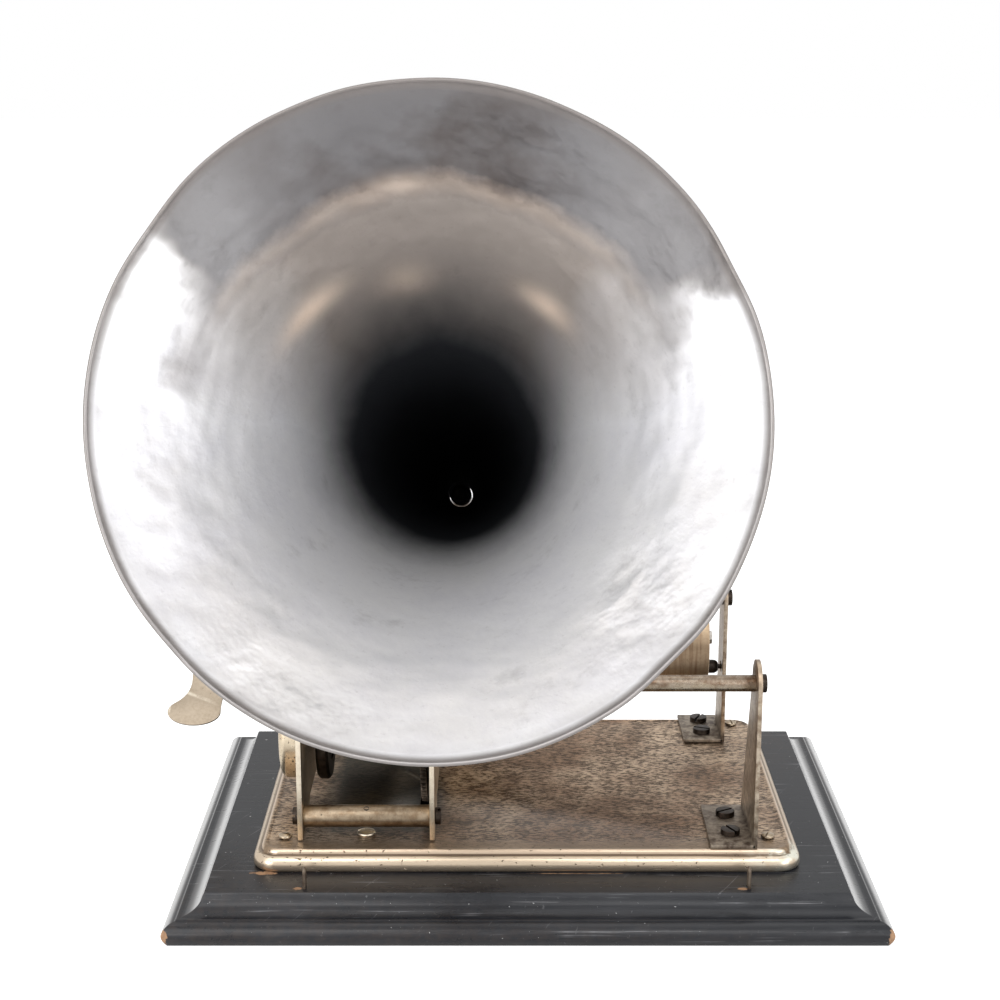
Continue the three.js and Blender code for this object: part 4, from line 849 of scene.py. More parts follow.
        # Painted shade: the throat is blended to near black, for the dark deep inside the horn.
        clear = tree.band(at.share + (at.cloud - 0.5) * 0.05 - at.up * 0.08, 0.60, 0.79) ** 1.4
        colour = tree.blend(clear, self.throat_shade, colour)
        back = tree.most(tree.band(at.outwards, 0.2, 0.5), tree.band(at.share, 0.0, -0.02))
        dull = tree.blend(tree.band(at.wisps, 0.38, 0.64), self.outside, self.weathered)
        dull = tree.blend(tree.band(at.stain, 0.54, 0.76, 0.4), dull, self.grey_stain_and_shade)
        colour = tree.blend(back, colour, dull)
        colour = tree.blend(tree.band(at.share, 0.985, 1.0, 0.3), colour, self.lip)
        colour = tree.blend(tree.band(at.share, 0.9935, 0.997, 0.85), colour, self.lip)
        colour = tree.blend(tree.band(at.fine, 0.60, 0.80, 0.15), colour, self.brown)
        throat_shade = (1.0 - clear) * (1.0 - back)
        rough = tree.mix(throat_shade, at.wisps * 0.20 + top * 0.10 + 0.26, 0.8)
        tree.fill(shader, {"Base Color": colour, "Roughness": rough, "Metallic": 0.6})
        bumped(tree, shader, self.relief(tree, at), 0.65, 1.5 * MM)
        return material


@dataclass(frozen=True)
class Plain:
    """A non-metal finish with a faint grain."""

    name: str
    base: Colour
    shade: Colour
    rough: float

    def make(self) -> bpy.types.Material:
        """Builds the material.

        Returns:
            The material.
        """
        material, tree, shader = new_material(self.name)
        grain = tree.noise(tree.place(), 800.0, 3.0, 0.6)
        colour = tree.blend(grain, self.base, self.shade)
        tree.fill(shader, {"Base Color": colour, "Roughness": grain * 0.2 + self.rough})
        bumped(tree, shader, grain, 0.2, 0.1 * MM)
        return material


MICA = Plain("mica_sheet", (0.62, 0.55, 0.40), (0.45, 0.38, 0.26), 0.15)
RUBBER = Plain("old_rubber", (0.045, 0.038, 0.034), (0.025, 0.022, 0.02), 0.6)
# A near-black finish for painted shade in a hole.
OIL_HOLE_SHADE = Plain("oil_hole_shade", (0.012, 0.010, 0.009), (0.02, 0.016, 0.013), 0.8)
LEATHER = Plain("brake_leather", (0.20, 0.10, 0.05), (0.11, 0.055, 0.03), 0.7)

Finish = Metal | BedFinish | PaintedWood | HornMetal | Plain


@cache
def finish(kind: Finish) -> bpy.types.Material:
    """Returns a finish's material, which is made at its first use."""
    return kind.make()


# Mesh building


def to_object(
    name: str, bm: bmesh.types.BMesh, crease: float = 32.0, outwards: bool = True,
) -> bpy.types.Object:
    """Turns a bmesh into an object at the origin with smooth faces and crisp corners.

    Args:
        name: the piece's name.
        bm: the mesh, which is freed.
        crease: the angle in degrees over which an edge stays sharp.
        outwards: whether the faces are turned out, which an open sheet doesn't need.

    Returns:
        The object, linked to the scene.
    """
    if outwards:
        bmesh.ops.recalc_face_normals(bm, faces=bm.faces)
    mesh = bpy.data.meshes.new(name)
    bm.to_mesh(mesh)
    bm.free()
    mesh.polygons.foreach_set("use_smooth", [True] * len(mesh.polygons))
    mesh.set_sharp_from_angle(angle=math.radians(crease))
    piece = bpy.data.objects.new(name, mesh)
    bpy.context.scene.collection.objects.link(piece)
    return piece


def add_turned(bm: bmesh.types.BMesh, profile: Sequence[Point], place: Matrix, steps: int = 64) -> None:
    """Spins an open or closed profile about an axis and adds it to a mesh.

    Args:
        bm: the mesh that takes it.
        profile: (distance along the axis, radius) points.
        place: puts the local Z axis where the piece lies.
        steps: the number of sides.
    """
    fresh = bmesh.new()
    verts = [fresh.verts.new((radius, 0.0, along)) for along, radius in profile]
    edges = [fresh.edges.new(pair) for pair in zip(verts, verts[1:])]
    bmesh.ops.spin(fresh, geom=verts + edges, cent=(0, 0, 0), axis=(0, 0, 1), angle=TURN,
                   steps=steps, use_merge=True, use_duplicate=False)
    bmesh.ops.remove_doubles(fresh, verts=fresh.verts, dist=1e-6)
    bmesh.ops.recalc_face_normals(fresh, faces=fresh.faces)
    absorb(bm, fresh, place)


def absorb(bm: bmesh.types.BMesh, other: bmesh.types.BMesh, place: Matrix) -> None:
    """Adds another mesh to a mesh, put in its place, and frees the other.

    Args:
        bm: the mesh that takes it.
        other: the mesh to add.
        place: where it goes.
    """
    bmesh.ops.transform(other, matrix=place, verts=other.verts)
    holder = bpy.data.meshes.new("holder")
    other.to_mesh(holder)
    other.free()
    bm.from_mesh(holder)
    bpy.data.meshes.remove(holder)


def bevel_corners(bm: bmesh.types.BMesh, width: float, segments: int = 2, angle: float = 40.0) -> None:
    """Rounds every edge that is sharper than an angle.

    Args:
        bm: the mesh.
        width: the bevel's width in metres.
        segments: how many faces it has.
        angle: the least angle in degrees.
    """
    limit = math.radians(angle)
    sharp = [edge for edge in bm.edges if edge.is_manifold and edge.calc_face_angle(0.0) > limit]
    bmesh.ops.bevel(bm, geom=sharp, offset=width, offset_type="OFFSET", segments=segments, profile=0.5,
                    affect="EDGES", clamp_overlap=True, material=-1)


def add_plate(
    bm: bmesh.types.BMesh, loops: Sequence[Loop], thickness: float, place: Matrix,
    bevel: float = 0.0, segments: int = 2,
) -> None:
    """Fills an outline with holes, gives it a thickness and adds it to a mesh.

    Args:
        bm: the mesh that takes it.
        loops: the outline, then its holes, in the plate's own X and Y.
        thickness: along its own Z.
        place: where it goes.
        bevel: width of the rounding of its edges.
        segments: faces of that rounding.
    """
    fresh = bmesh.new()
    edges = []
    for loop in loops:
        verts = [fresh.verts.new((across, up, 0.0)) for across, up in loop]
        edges += [fresh.edges.new((verts[i - 1], verts[i])) for i in range(len(verts))]
    bmesh.ops.triangle_fill(fresh, use_beauty=True, use_dissolve=False, edges=edges)
    bmesh.ops.recalc_face_normals(fresh, faces=fresh.faces)
    grown = bmesh.ops.extrude_face_region(fresh, geom=list(fresh.faces))
    lifted = [item for item in grown["geom"] if isinstance(item, bmesh.types.BMVert)]
    bmesh.ops.translate(fresh, verts=lifted, vec=(0.0, 0.0, thickness))
    bmesh.ops.recalc_face_normals(fresh, faces=fresh.faces)
    if bevel > 0:
        bevel_corners(fresh, bevel, segments)
    absorb(bm, fresh, place)


def add_loft(bm: bmesh.types.BMesh, rings: Sequence[Sequence[Vector]], caps: bool = True) -> None:
    """Bridges a stack of closed rings of equal counts and adds them to a mesh.

    Args:
        bm: the mesh that takes it.
        rings: the rings' points, in the frame.
        caps: whether both ends are closed.
    """
    fresh = bmesh.new()
    edge_rings = []
    for ring in rings:
        verts = [fresh.verts.new(point) for point in ring]
        edge_rings.append([fresh.edges.new((verts[i - 1], verts[i])) for i in range(len(verts))])
    for first, second in zip(edge_rings, edge_rings[1:]):
        bmesh.ops.bridge_loops(fresh, edges=first + second)
    if caps:
        for ring in (edge_rings[0], edge_rings[-1]):
            bmesh.ops.contextual_create(fresh, geom=ring)
    bmesh.ops.recalc_face_normals(fresh, faces=fresh.faces)
    absorb(bm, fresh, Matrix.Identity(4))


def along_x(x: float, y: float, z: float) -> Matrix:
    """Returns the matrix that lays a turned piece's axis along X at a place."""
    return Matrix.Translation((x, y, z)) @ Matrix.Rotation(math.pi / 2, 4, "Y")


def upright(x: float, y: float, z: float) -> Matrix:
    """Returns the matrix that stands a turned piece's axis along Z at a place."""
    return Matrix.Translation((x, y, z))


# Maps a plate's own X, Y and Z to the frame's Y, Z and X.
FACING_X = Matrix(((0, 0, 1, 0), (1, 0, 0, 0), (0, 1, 0, 0), (0, 0, 0, 1)))

# Maps a plate's own X, Y and Z to the frame's X, Z and -Y.
FACING_Y = Matrix(((1, 0, 0, 0), (0, 0, -1, 0), (0, 1, 0, 0), (0, 0, 0, 1)))


def facing_x(x: float) -> Matrix:
    """Returns the matrix of a plate drawn in the frame's Y and Z, with its back at x."""
    return Matrix.Translation((x, 0.0, 0.0)) @ FACING_X


def ring_loop(radius: float, sides: int, centre: Point = (0.0, 0.0), start: float = 0.0) -> Loop:
    """Returns a circle's points."""
    angles = [start + TURN * i / sides for i in range(sides)]
    return [(centre[0] + radius * math.cos(a), centre[1] + radius * math.sin(a)) for a in angles]


def arc_loop(centre: Point, radius: float, start: float, end: float, steps: int) -> Loop:
    """Returns an arc's points, both ends in."""
    angles = [start + (end - start) * i / steps for i in range(steps + 1)]
    return [(centre[0] + radius * math.cos(a), centre[1] + radius * math.sin(a)) for a in angles]


def curve_loop(start: Point, pull: Point, end: Point, steps: int) -> Loop:
    """Draws a quadratic curve.

    Args:
        start: its first point.
        pull: the point that bends it.
        end: its last point.
        steps: its stretches.

    Returns:
        Its points, both ends in.
    """
    points = []
    for i in range(steps + 1):
        t = i / steps
        a, b, c = (1 - t) ** 2, 2 * t * (1 - t), t ** 2
        points.append((a * start[0] + b * pull[0] + c * end[0], a * start[1] + b * pull[1] + c * end[1]))
    return points


def quarter(steps: int, first: int = 0) -> list[Point]:
    """Returns the sine and the cosine of each stop of a quarter turn."""
    angles = [i / steps * TURN / 4 for i in range(first, steps + 1)]
    return [(math.sin(a), math.cos(a)) for a in angles]


def ball(radius: float) -> list[Point]:
    """Returns a ball's profile, from pole to pole."""
    angles = [math.pi * i / 24 for i in range(25)]
    return [(radius * -math.cos(a), radius * math.sin(a)) for a in angles]


def rounded_rod(start: float, end: float, radius: float, chamfer: float = 0.3 * MM) -> list[Point]:
    """Draws a rod's profile with broken edges.

    Args:
        start: where the rod starts.
        end: where it ends.
        radius: its radius.
        chamfer: the size of its broken edges.

    Returns:
        The open profile, from axis to axis.
    """
    return [
        (start, 0.0), (start, radius - chamfer), (start + chamfer * 0.3, radius - chamfer * 0.3),
        (start + chamfer, radius), (end - chamfer, radius), (end - chamfer * 0.3, radius - chamfer * 0.3),
        (end, radius - chamfer), (end, 0.0),
    ]


def rounded_tube(
    start: float, end: float, outer: float, inner: float, chamfer: float = 0.2 * MM,
) -> list[Point]:
    """Draws a tube's profile with broken edges.

    Args:
        start: where the tube starts.
        end: where it ends.
        outer: its outer radius.
        inner: its bore's radius.
        chamfer: the size of its broken edges.

    Returns:
        The closed profile.
    """
    return [
        (start, inner + chamfer), (start, outer - chamfer), (start + chamfer, outer),
        (end - chamfer, outer), (end, outer - chamfer), (end, inner + chamfer), (end - chamfer, inner),
        (start + chamfer, inner), (start, inner + chamfer),
    ]


def tube_object(
    name: str, route: Sequence[Vector], radius: float, sides: int, wall: float = 0.0,
) -> bpy.types.Object:
    """Makes a bent wire, or a tube where it has a wall, along a smooth route.

    Args:
        name: the piece's name.
        route: its middle line.
        radius: its outer radius.
        sides: half the number of its sides.
        wall: its wall; nil for a solid wire.

    Returns:
        The object.
    """
    curve = bpy.data.curves.new(name, "CURVE")
    curve.dimensions = "3D"
    curve.bevel_depth = radius
    curve.bevel_resolution = sides
    curve.use_fill_caps = wall == 0
    curve.resolution_u = 8
    line = curve.splines.new("NURBS")
    line.points.add(len(route) - 1)
    for point, place in zip(line.points, route):
        point.co = (*place, 1.0)
    line.order_u = 3
    line.use_endpoint_u = True
    holder = bpy.data.objects.new(name, curve)
    bpy.context.scene.collection.objects.link(holder)
    if wall > 0:
        thick = holder.modifiers.new("wall", "SOLIDIFY")
        thick.thickness = wall
        thick.offset = -1.0
    bpy.context.view_layer.update()
    shape = bpy.data.meshes.new_from_object(holder.evaluated_get(bpy.context.evaluated_depsgraph_get()))
    bpy.data.objects.remove(holder)
    bm = bmesh.new()
    bm.from_mesh(shape)
    bpy.data.meshes.remove(shape)
    bmesh.ops.remove_doubles(bm, verts=bm.verts, dist=1e-6)
    return to_object(name, bm)


@dataclass(frozen=True)
class Span:
    """The place of a CAD node: its lowest and highest corners."""

    low: Vector
    high: Vector

    @classmethod
    def of(cls, node: str) -> "Span":
        """Returns the span of a node at rest."""
        low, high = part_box(node)
        return cls(low, high)

    @property
    def mid(self) -> Vector:
        """The middle of the node's box."""
        return (self.low + self.high) / 2


def settle(
    piece: bpy.types.Object, kind: Finish, body: Body, nodes: Iterable[str] = (),
) -> None:
    """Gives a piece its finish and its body.

    Args:
        piece: the new piece.
        kind: its finish.
        body: what it moves with.
        nodes: the CAD nodes that it stands for.
    """
    piece.data.materials.clear()
    piece.data.materials.append(finish(kind))
    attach(piece, body.value)
    if nodes:
        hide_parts(*nodes)
    log.info("%s: %d faces", piece.name, len(piece.data.polygons))


def turned_piece(
    name: str, profile: Sequence[Point], place: Matrix, steps: int, kind: Finish, body: Body,
    nodes: Iterable[str] = (), crease: float = 32.0,
) -> None:
    """Makes a piece of one turned profile.

    Args:
        name: the piece's name.
        profile: (distance along the axis, radius) points.
        place: puts the local Z axis where the piece lies.
        steps: the number of sides.
        kind: its finish.
        body: what it moves with.
        nodes: the CAD nodes that it stands for.
        crease: the angle in degrees over which an edge stays sharp.
    """
    bm = bmesh.new()
    add_turned(bm, profile, place, steps)
    settle(to_object(name, bm, crease), kind, body, nodes)


def smooth_line(points: Sequence[Point], steps: int) -> list[Point]:
    """Returns a line eased through points, with steps between each two.

    Args:
        points: the points that it passes.
        steps: the number of stretches between two points.

    Returns:
        The eased line's points.
    """
    ends = [points[0], *points, points[-1]]
    line = []
    for i in range(1, len(ends) - 2):
        a, b, c, d = (Vector(ends[i + k]) for k in (-1, 0, 1, 2))
        for j in range(steps):
            t = j / steps
            spot = 0.5 * (2 * b + (c - a) * t + (2 * a - 5 * b + 4 * c - d) * t * t
                          + (3 * b - 3 * c + d - a) * t ** 3)
            line.append(tuple(spot))
    return [*line, points[-1]]


def rounded_ring(half: Point, radius: float, centre: Point, z: float, steps: int) -> list[Vector]:
    """Returns a level rectangle with round corners.

    Args:
        half: half its width and depth.
        radius: its corners' radius.
        centre: its middle.
        z: its height.
        steps: stretches of each corner.

    Returns:
        Its points.
    """
    ring = []
    for number, (side_x, side_y) in enumerate(((1, 1), (-1, 1), (-1, -1), (1, -1))):
        corner = (centre[0] + side_x * (half[0] - radius), centre[1] + side_y * (half[1] - radius))
        arc = arc_loop(corner, radius, number * TURN / 4, (number + 1) * TURN / 4, steps)
        ring += [Vector((x, y, z)) for x, y in arc]
    return ring


# Sub-assemblies


@dataclass
class WoodenBase:
    """The moulded base, painted black."""

    width: float = 268 * MM
    depth: float = 193 * MM
    height: float = 15 * MM
    run: float = 14.2 * MM
    corner: float = 0.5 * MM
    moulding: tuple[Point, ...] = (
        (0.0, 0.0), (0.5, 0.9), (1.8, 3.7), (4.1, 5.5), (7.0, 6.3), (9.3, 6.35), (9.6, 6.8), (11.4, 7.2),
        (13.3, 8.6), (14.2, 10.6), (13.7, 12.9), (12.5, 15.0),
    )

    def build(self) -> None:
        """Lofts the moulding round the base and caps it above and below."""
        rings = []
        for out, down in smooth_line(self.moulding, 4):
            half = (self.width / 2 - self.run + out * MM, self.depth / 2 - self.run + out * MM)
            rings.append(rounded_ring(half, self.corner, (0.0, 0.0), self.height - down * MM, 3))
        bm = bmesh.new()
        add_loft(bm, rings)
        settle(to_object("moulded_base", bm, 24), PaintedWood(), Body.ROOT, ["wooden_base"])


@dataclass
class Bedplate:
    """The pressed bedplate: a round outer bead, a step and a raised rim round a level panel."""

    half: Point = (104.5 * MM, 72.9 * MM)
    centre: Point = (0.0, 7.4 * MM)
    foot: float = 15 * MM
    corner: float = 9 * MM
    wall: float = 1.4 * MM
    section: tuple[Point, ...] = (
        (0.9, 0.0), (0.35, 0.5), (0.05, 1.3), (0.0, 2.4), (0.15, 3.6), (0.6, 4.7), (1.3, 5.5),
        (2.0, 5.85), (2.6, 5.9), (2.8, 5.95), (2.95, 6.2), (3.05, 6.8), (3.3, 7.45), (3.8, 7.85),
        (4.4, 7.95), (5.0, 7.85), (5.6, 7.65), (6.4, 7.55),
    )
    slot_x: Point = (-42.3 * MM, -38 * MM)
    slot_y: Point = (-20 * MM, 4 * MM)

    def build(self) -> None:
        """Lofts the rim, closes the panel and gives the sheet its wall."""
        rings = []
        for inset, up in smooth_line(self.section, 3):
            half = (self.half[0] - inset * MM, self.half[1] - inset * MM)
            radius = max(self.corner - inset * 0.45 * MM, 0.5 * MM)
            rings.append(rounded_ring(half, radius, self.centre, self.foot + up * MM, 10))
        bm = bmesh.new()
        add_loft(bm, rings, caps=False)
        level = rings[-1][0].z
        edges = [edge for edge in bm.edges if edge.is_boundary and edge.verts[0].co.z > level - 0.1 * MM]
        (x0, x1), (y0, y1) = self.slot_x, self.slot_y
        slot = [bm.verts.new((x, y, level)) for x, y in ((x0, y0), (x1, y0), (x1, y1), (x0, y1))]
        edges += [bm.edges.new((slot[i - 1], slot[i])) for i in range(4)]
        bmesh.ops.triangle_fill(bm, use_beauty=True, use_dissolve=False, edges=edges)
        bmesh.ops.recalc_face_normals(bm, faces=bm.faces)
        bm.faces.ensure_lookup_table()
        if max(bm.faces, key=lambda face: face.calc_area()).normal.z < 0:
            bmesh.ops.reverse_faces(bm, faces=bm.faces)
        sheet = to_object("pressed_bedplate", bm, 50, outwards=False)
        wall = sheet.modifiers.new("wall", "SOLIDIFY")
        wall.thickness = self.wall
        wall.offset = -1.0
        settle(sheet, BedFinish(), Body.ROOT, ["bedplate"])


@dataclass(frozen=True)
class ScrewHead:
    """A slotted screw's sizes."""

    radius: float
    height: float
    domed: bool = False
    slot: float = 1.0 * MM
    depth_share: float = 0.55
    soft: float = 0.25 * MM
    dome_share: float = 0.45
    shank: float = 1.5 * MM
    shank_depth: float = 1.2 * MM

    def add(self, bm: bmesh.types.BMesh, place: Matrix) -> None:
        """Adds a head with its slot.

        Args:
            bm: the mesh that takes it.
            place: where its seat and its axis lie.
        """
        fresh = bmesh.new()
        rise = self.height * (self.dome_share if self.domed else 1.0)
        profile = [
            (-self.shank_depth, 0.0), (-self.shank_depth, self.shank), (0.0, self.shank),
            (0.0, self.radius - self.soft), (self.soft, self.radius), (rise - self.soft, self.radius),
        ]
        for sine, cosine in quarter(5, 1):
            if self.domed:
                profile.append((rise + (self.height - rise) * sine, self.radius * cosine))
            else:
                profile.append((rise - self.soft * (1 - sine), self.radius - self.soft * (1 - cosine)))
        if not self.domed:
            profile.append((rise, 0.0))
        add_turned(fresh, profile, Matrix.Identity(4), 40)
        self.cut_slot(fresh)
        absorb(bm, fresh, place)

    def cut_slot(self, bm: bmesh.types.BMesh) -> None:
        """Presses a slot across the head.

        Args:
            bm: the head's mesh, with its axis along Z.
        """
        half = self.slot / 2
        for side in (-half, half):
            for nudge in (0.0, 0.02 * MM):
                where = (side + math.copysign(nudge, side), 0.0, 0.0)
                bmesh.ops.bisect_plane(bm, geom=bm.verts[:] + bm.edges[:] + bm.faces[:], dist=1e-7,
                                       plane_co=where, plane_no=(1.0, 0.0, 0.0))
        floor = self.height * (1 - self.depth_share)
        for vert in bm.verts:
            if abs(vert.co.x) < half + 0.005 * MM and vert.co.z > floor:
                vert.co.z = floor


@dataclass
class Screws:
    """Every slotted screw of the machine."""

    foot: ScrewHead = ScrewHead(3.7 * MM, 2.2 * MM)
    bed: ScrewHead = ScrewHead(2.6 * MM, 1.3 * MM, domed=True, slot=0.8 * MM, soft=0.1 * MM)
    rod: ScrewHead = ScrewHead(3.5 * MM, 2.5 * MM, slot=1.2 * MM)
    pillar: ScrewHead = ScrewHead(3.35 * MM, 2.2 * MM)
    turns: tuple[float, ...] = (0.5, 2.1, 1.2, 2.7)

    def build(self) -> None:
        """Makes each screw where its CAD node is."""
        for number, turned in enumerate(self.turns, 1):
            self.upright_screw(f"bracket_screw_{number}", self.foot, turned, DARK_STEEL)
            self.upright_screw(f"bed_screw_{number}", self.bed, turned + 0.6, NICKEL)
        for number, side in enumerate(("front", "rear")):
            self.side_screw(f"rod_screw_{side}", self.rod, 0.9 + number, 1)
        self.side_screw("pillar_screw_left", self.pillar, 0.4, -1)
        self.side_screw("pillar_screw_right", self.pillar, 2.0, 1)

    def upright_screw(self, node: str, head: ScrewHead, turned: float, look: Metal) -> None:
        """Makes a screw that stands with its axis along Z.

        Args:
            node: the CAD node that it replaces.
            head: its head.
            turned: the slot's angle.
            look: its finish.
        """
        span = Span.of(node)
        bm = bmesh.new()
        place = upright(span.mid.x, span.mid.y, span.high.z - head.height)
        head.add(bm, place @ Matrix.Rotation(turned, 4, "Z"))
        settle(to_object(f"{node}_head", bm, 30), look, Body.ROOT, [node])

    def side_screw(self, node: str, head: ScrewHead, turned: float, side: int) -> None:
        """Makes a screw that lies along X.

        Args:
            node: the CAD node that it replaces.
            head: its head.
            turned: the slot's angle.
            side: 1 where the head faces right, -1 where it faces left.
        """
        span = Span.of(node)
        seat = span.high.x - head.height if side > 0 else span.low.x + head.height
        bm = bmesh.new()
        lay = Matrix.Rotation(side * math.pi / 2, 4, "Y")
        place = Matrix.Translation((seat, span.mid.y, span.mid.z)) @ lay @ Matrix.Rotation(turned, 4, "Z")
        head.add(bm, place)
        settle(to_object(f"{node}_head", bm, 30), DARK_STEEL, Body.ROOT, [node])


@dataclass
class LidEyes:
    """The two wire staples that took the lid's hooks."""

    wire: float = 0.65 * MM
    sink: float = 10 * MM

    def build(self) -> None:
        """Bends each staple inside its node's box."""
        for side in ("left", "right"):
            span = Span.of(f"lid_eye_{side}")
            half = (span.high.y - span.low.y) / 2 - self.wire
            bend = span.high.z - self.wire - half - span.low.z
            route = [(-half, 0.0), (-half, self.sink), (-half, bend)]
            for i in range(1, 8):
                angle = math.pi * (1 - i / 8)
                route.append((half * math.cos(angle), bend + half * math.sin(angle)))
            route += [(half, bend), (half, self.sink), (half, 0.0)]
            base = Vector((span.mid.x, span.mid.y, span.low.z))
            line = [base + Vector((0.0, *spot)) for spot in route]
            eye = tube_object(f"wire_staple_{side}", line, self.wire, 3)
            settle(eye, BRACKET_NICKEL, Body.ROOT, [f"lid_eye_{side}"])


@dataclass
class MotorFrame:
    """The two motor plates and the pillars between them."""

    left_x: float = LEFT_PLATE_X
    right_x: float = RIGHT_PLATE_X
    thickness: float = PLATE_SHEET
    front_y: float = -53.9 * MM
    rear_y: float = 66 * MM
    shoulder_z: float = 88 * MM
    top_z: float = 112 * MM
    bed_top: float = BED_TOP
    foot: float = 24 * MM
    arch: float = 6 * MM
    ear: float = 8 * MM
    rod_z: float = ROD_Z
    rods_y: Point = (FRONT_ROD_Y, REAR_ROD_Y)
    pillar_front: Point = (-48.25 * MM, 30.8 * MM)
    pillar_rear: Point = (58 * MM, 31 * MM)
    pillar_top: Point = (26 * MM, 101.5 * MM)
    pillar_radius: float = 4.3 * MM
    top_radius: float = 3.5 * MM
    rivet: float = 2 * MM
    ear_proud: float = 0.12 * MM
    oil_hole: float = 1.0 * MM
    oil_turn: float = 26.0

    def crown(self) -> Loop:
        """Draws the round top.

        Returns:
            Its points from the rear shoulder to the front one.
        """
        half = (self.rear_y - self.front_y) / 2
        rise = self.top_z - self.shoulder_z
        radius = (half ** 2 + rise ** 2) / (2 * rise)
        sweep = math.asin(half / radius)
        centre = (self.front_y + half, self.top_z - radius)
        return arc_loop(centre, radius, math.pi / 2 - sweep, math.pi / 2 + sweep, 48)

    def feet(self) -> Loop:
        """Draws the two feet and the arch between them.

        Returns:
            Their points from the front to the rear.
        """
        floor, up = self.bed_top, self.bed_top + self.arch
        return [(self.front_y, floor), (self.front_y + self.foot, floor),
                (self.front_y + self.foot + self.arch, up), (self.rear_y - self.foot - self.arch, up),
                (self.rear_y - self.foot, floor), (self.rear_y, floor)]

    def plate(self, name: str, x: float, ears: bool, node: str) -> None:
        """Makes one plate.

        Args:
            name: the piece's name.
            x: its left face.
            ears: whether it has the rods' ears.
            node: the CAD node that it replaces.
        """
        bm = bmesh.new()
        place = facing_x(x)
        add_plate(bm, [[*self.feet(), *self.crown()]], self.thickness, place, 0.3 * MM)
        if ears:
            for y in self.rods_y:
                disc = rounded_rod(x - self.ear_proud, x + self.thickness + self.ear_proud, self.ear)
                add_turned(bm, disc, along_x(0, y, self.rod_z), 48)
        settle(to_object(name, bm), PLATE_NICKEL, Body.ROOT, [node])

    def front_pillar(self) -> None:
        """Turns the front pillar and lays a near-black disc of painted shade where its oil hole is."""
        left, right = self.left_x + self.thickness, self.right_x
        y, z = self.pillar_front
        profile = rounded_rod(left, right, self.pillar_radius, 0.35 * MM)
        turned_piece("front_pillar_rod", profile, along_x(0, y, z), 64, PILLAR_NICKEL, Body.ROOT,
                     ["front_pillar"])
        # Painted shade: the oil hole is a near-black disc on the pillar, for the dark inside the hole.
        turned = Matrix.Rotation(math.radians(self.oil_turn), 4, "X")
        spot = upright((left + right) / 2, y, z) @ turned @ upright(0, 0, self.pillar_radius - 0.35 * MM)
        rim = [(0.30 * MM, 0.0), (0.33 * MM, self.oil_hole * 0.8), (0.4 * MM, self.oil_hole),
               (0.1 * MM, self.oil_hole * 1.15), (0.0, self.oil_hole), (0.0, 0.0)]
        turned_piece("pillar_oil_hole_shade", rim, spot, 24, OIL_HOLE_SHADE, Body.ROOT)

    def other_pillars(self) -> None:
        """Turns the rear and the top pillar, riveted through the plates."""
        inner = (self.left_x + self.thickness, self.right_x)
        outer = (self.left_x, self.right_x + self.thickness)
        for name, spot, radius in (("rear_pillar", self.pillar_rear, self.pillar_radius),
                                   ("top_pillar", self.pillar_top, self.top_radius)):
            bm = bmesh.new()
            place = along_x(0, *spot)
            add_turned(bm, rounded_rod(*inner, radius), place, 48)
            add_turned(bm, rounded_rod(*outer, self.rivet, 0.2 * MM), place, 32)
            settle(to_object(f"{name}_rod", bm), NICKEL, Body.ROOT, [name])

    def build(self) -> None:
        """Makes the plates and the pillars."""
        self.plate("left_motor_plate", self.left_x, False, "motor_plate_left")
        self.plate("right_motor_plate", self.right_x, True, "motor_plate_right")
        self.front_pillar()
        self.other_pillars()


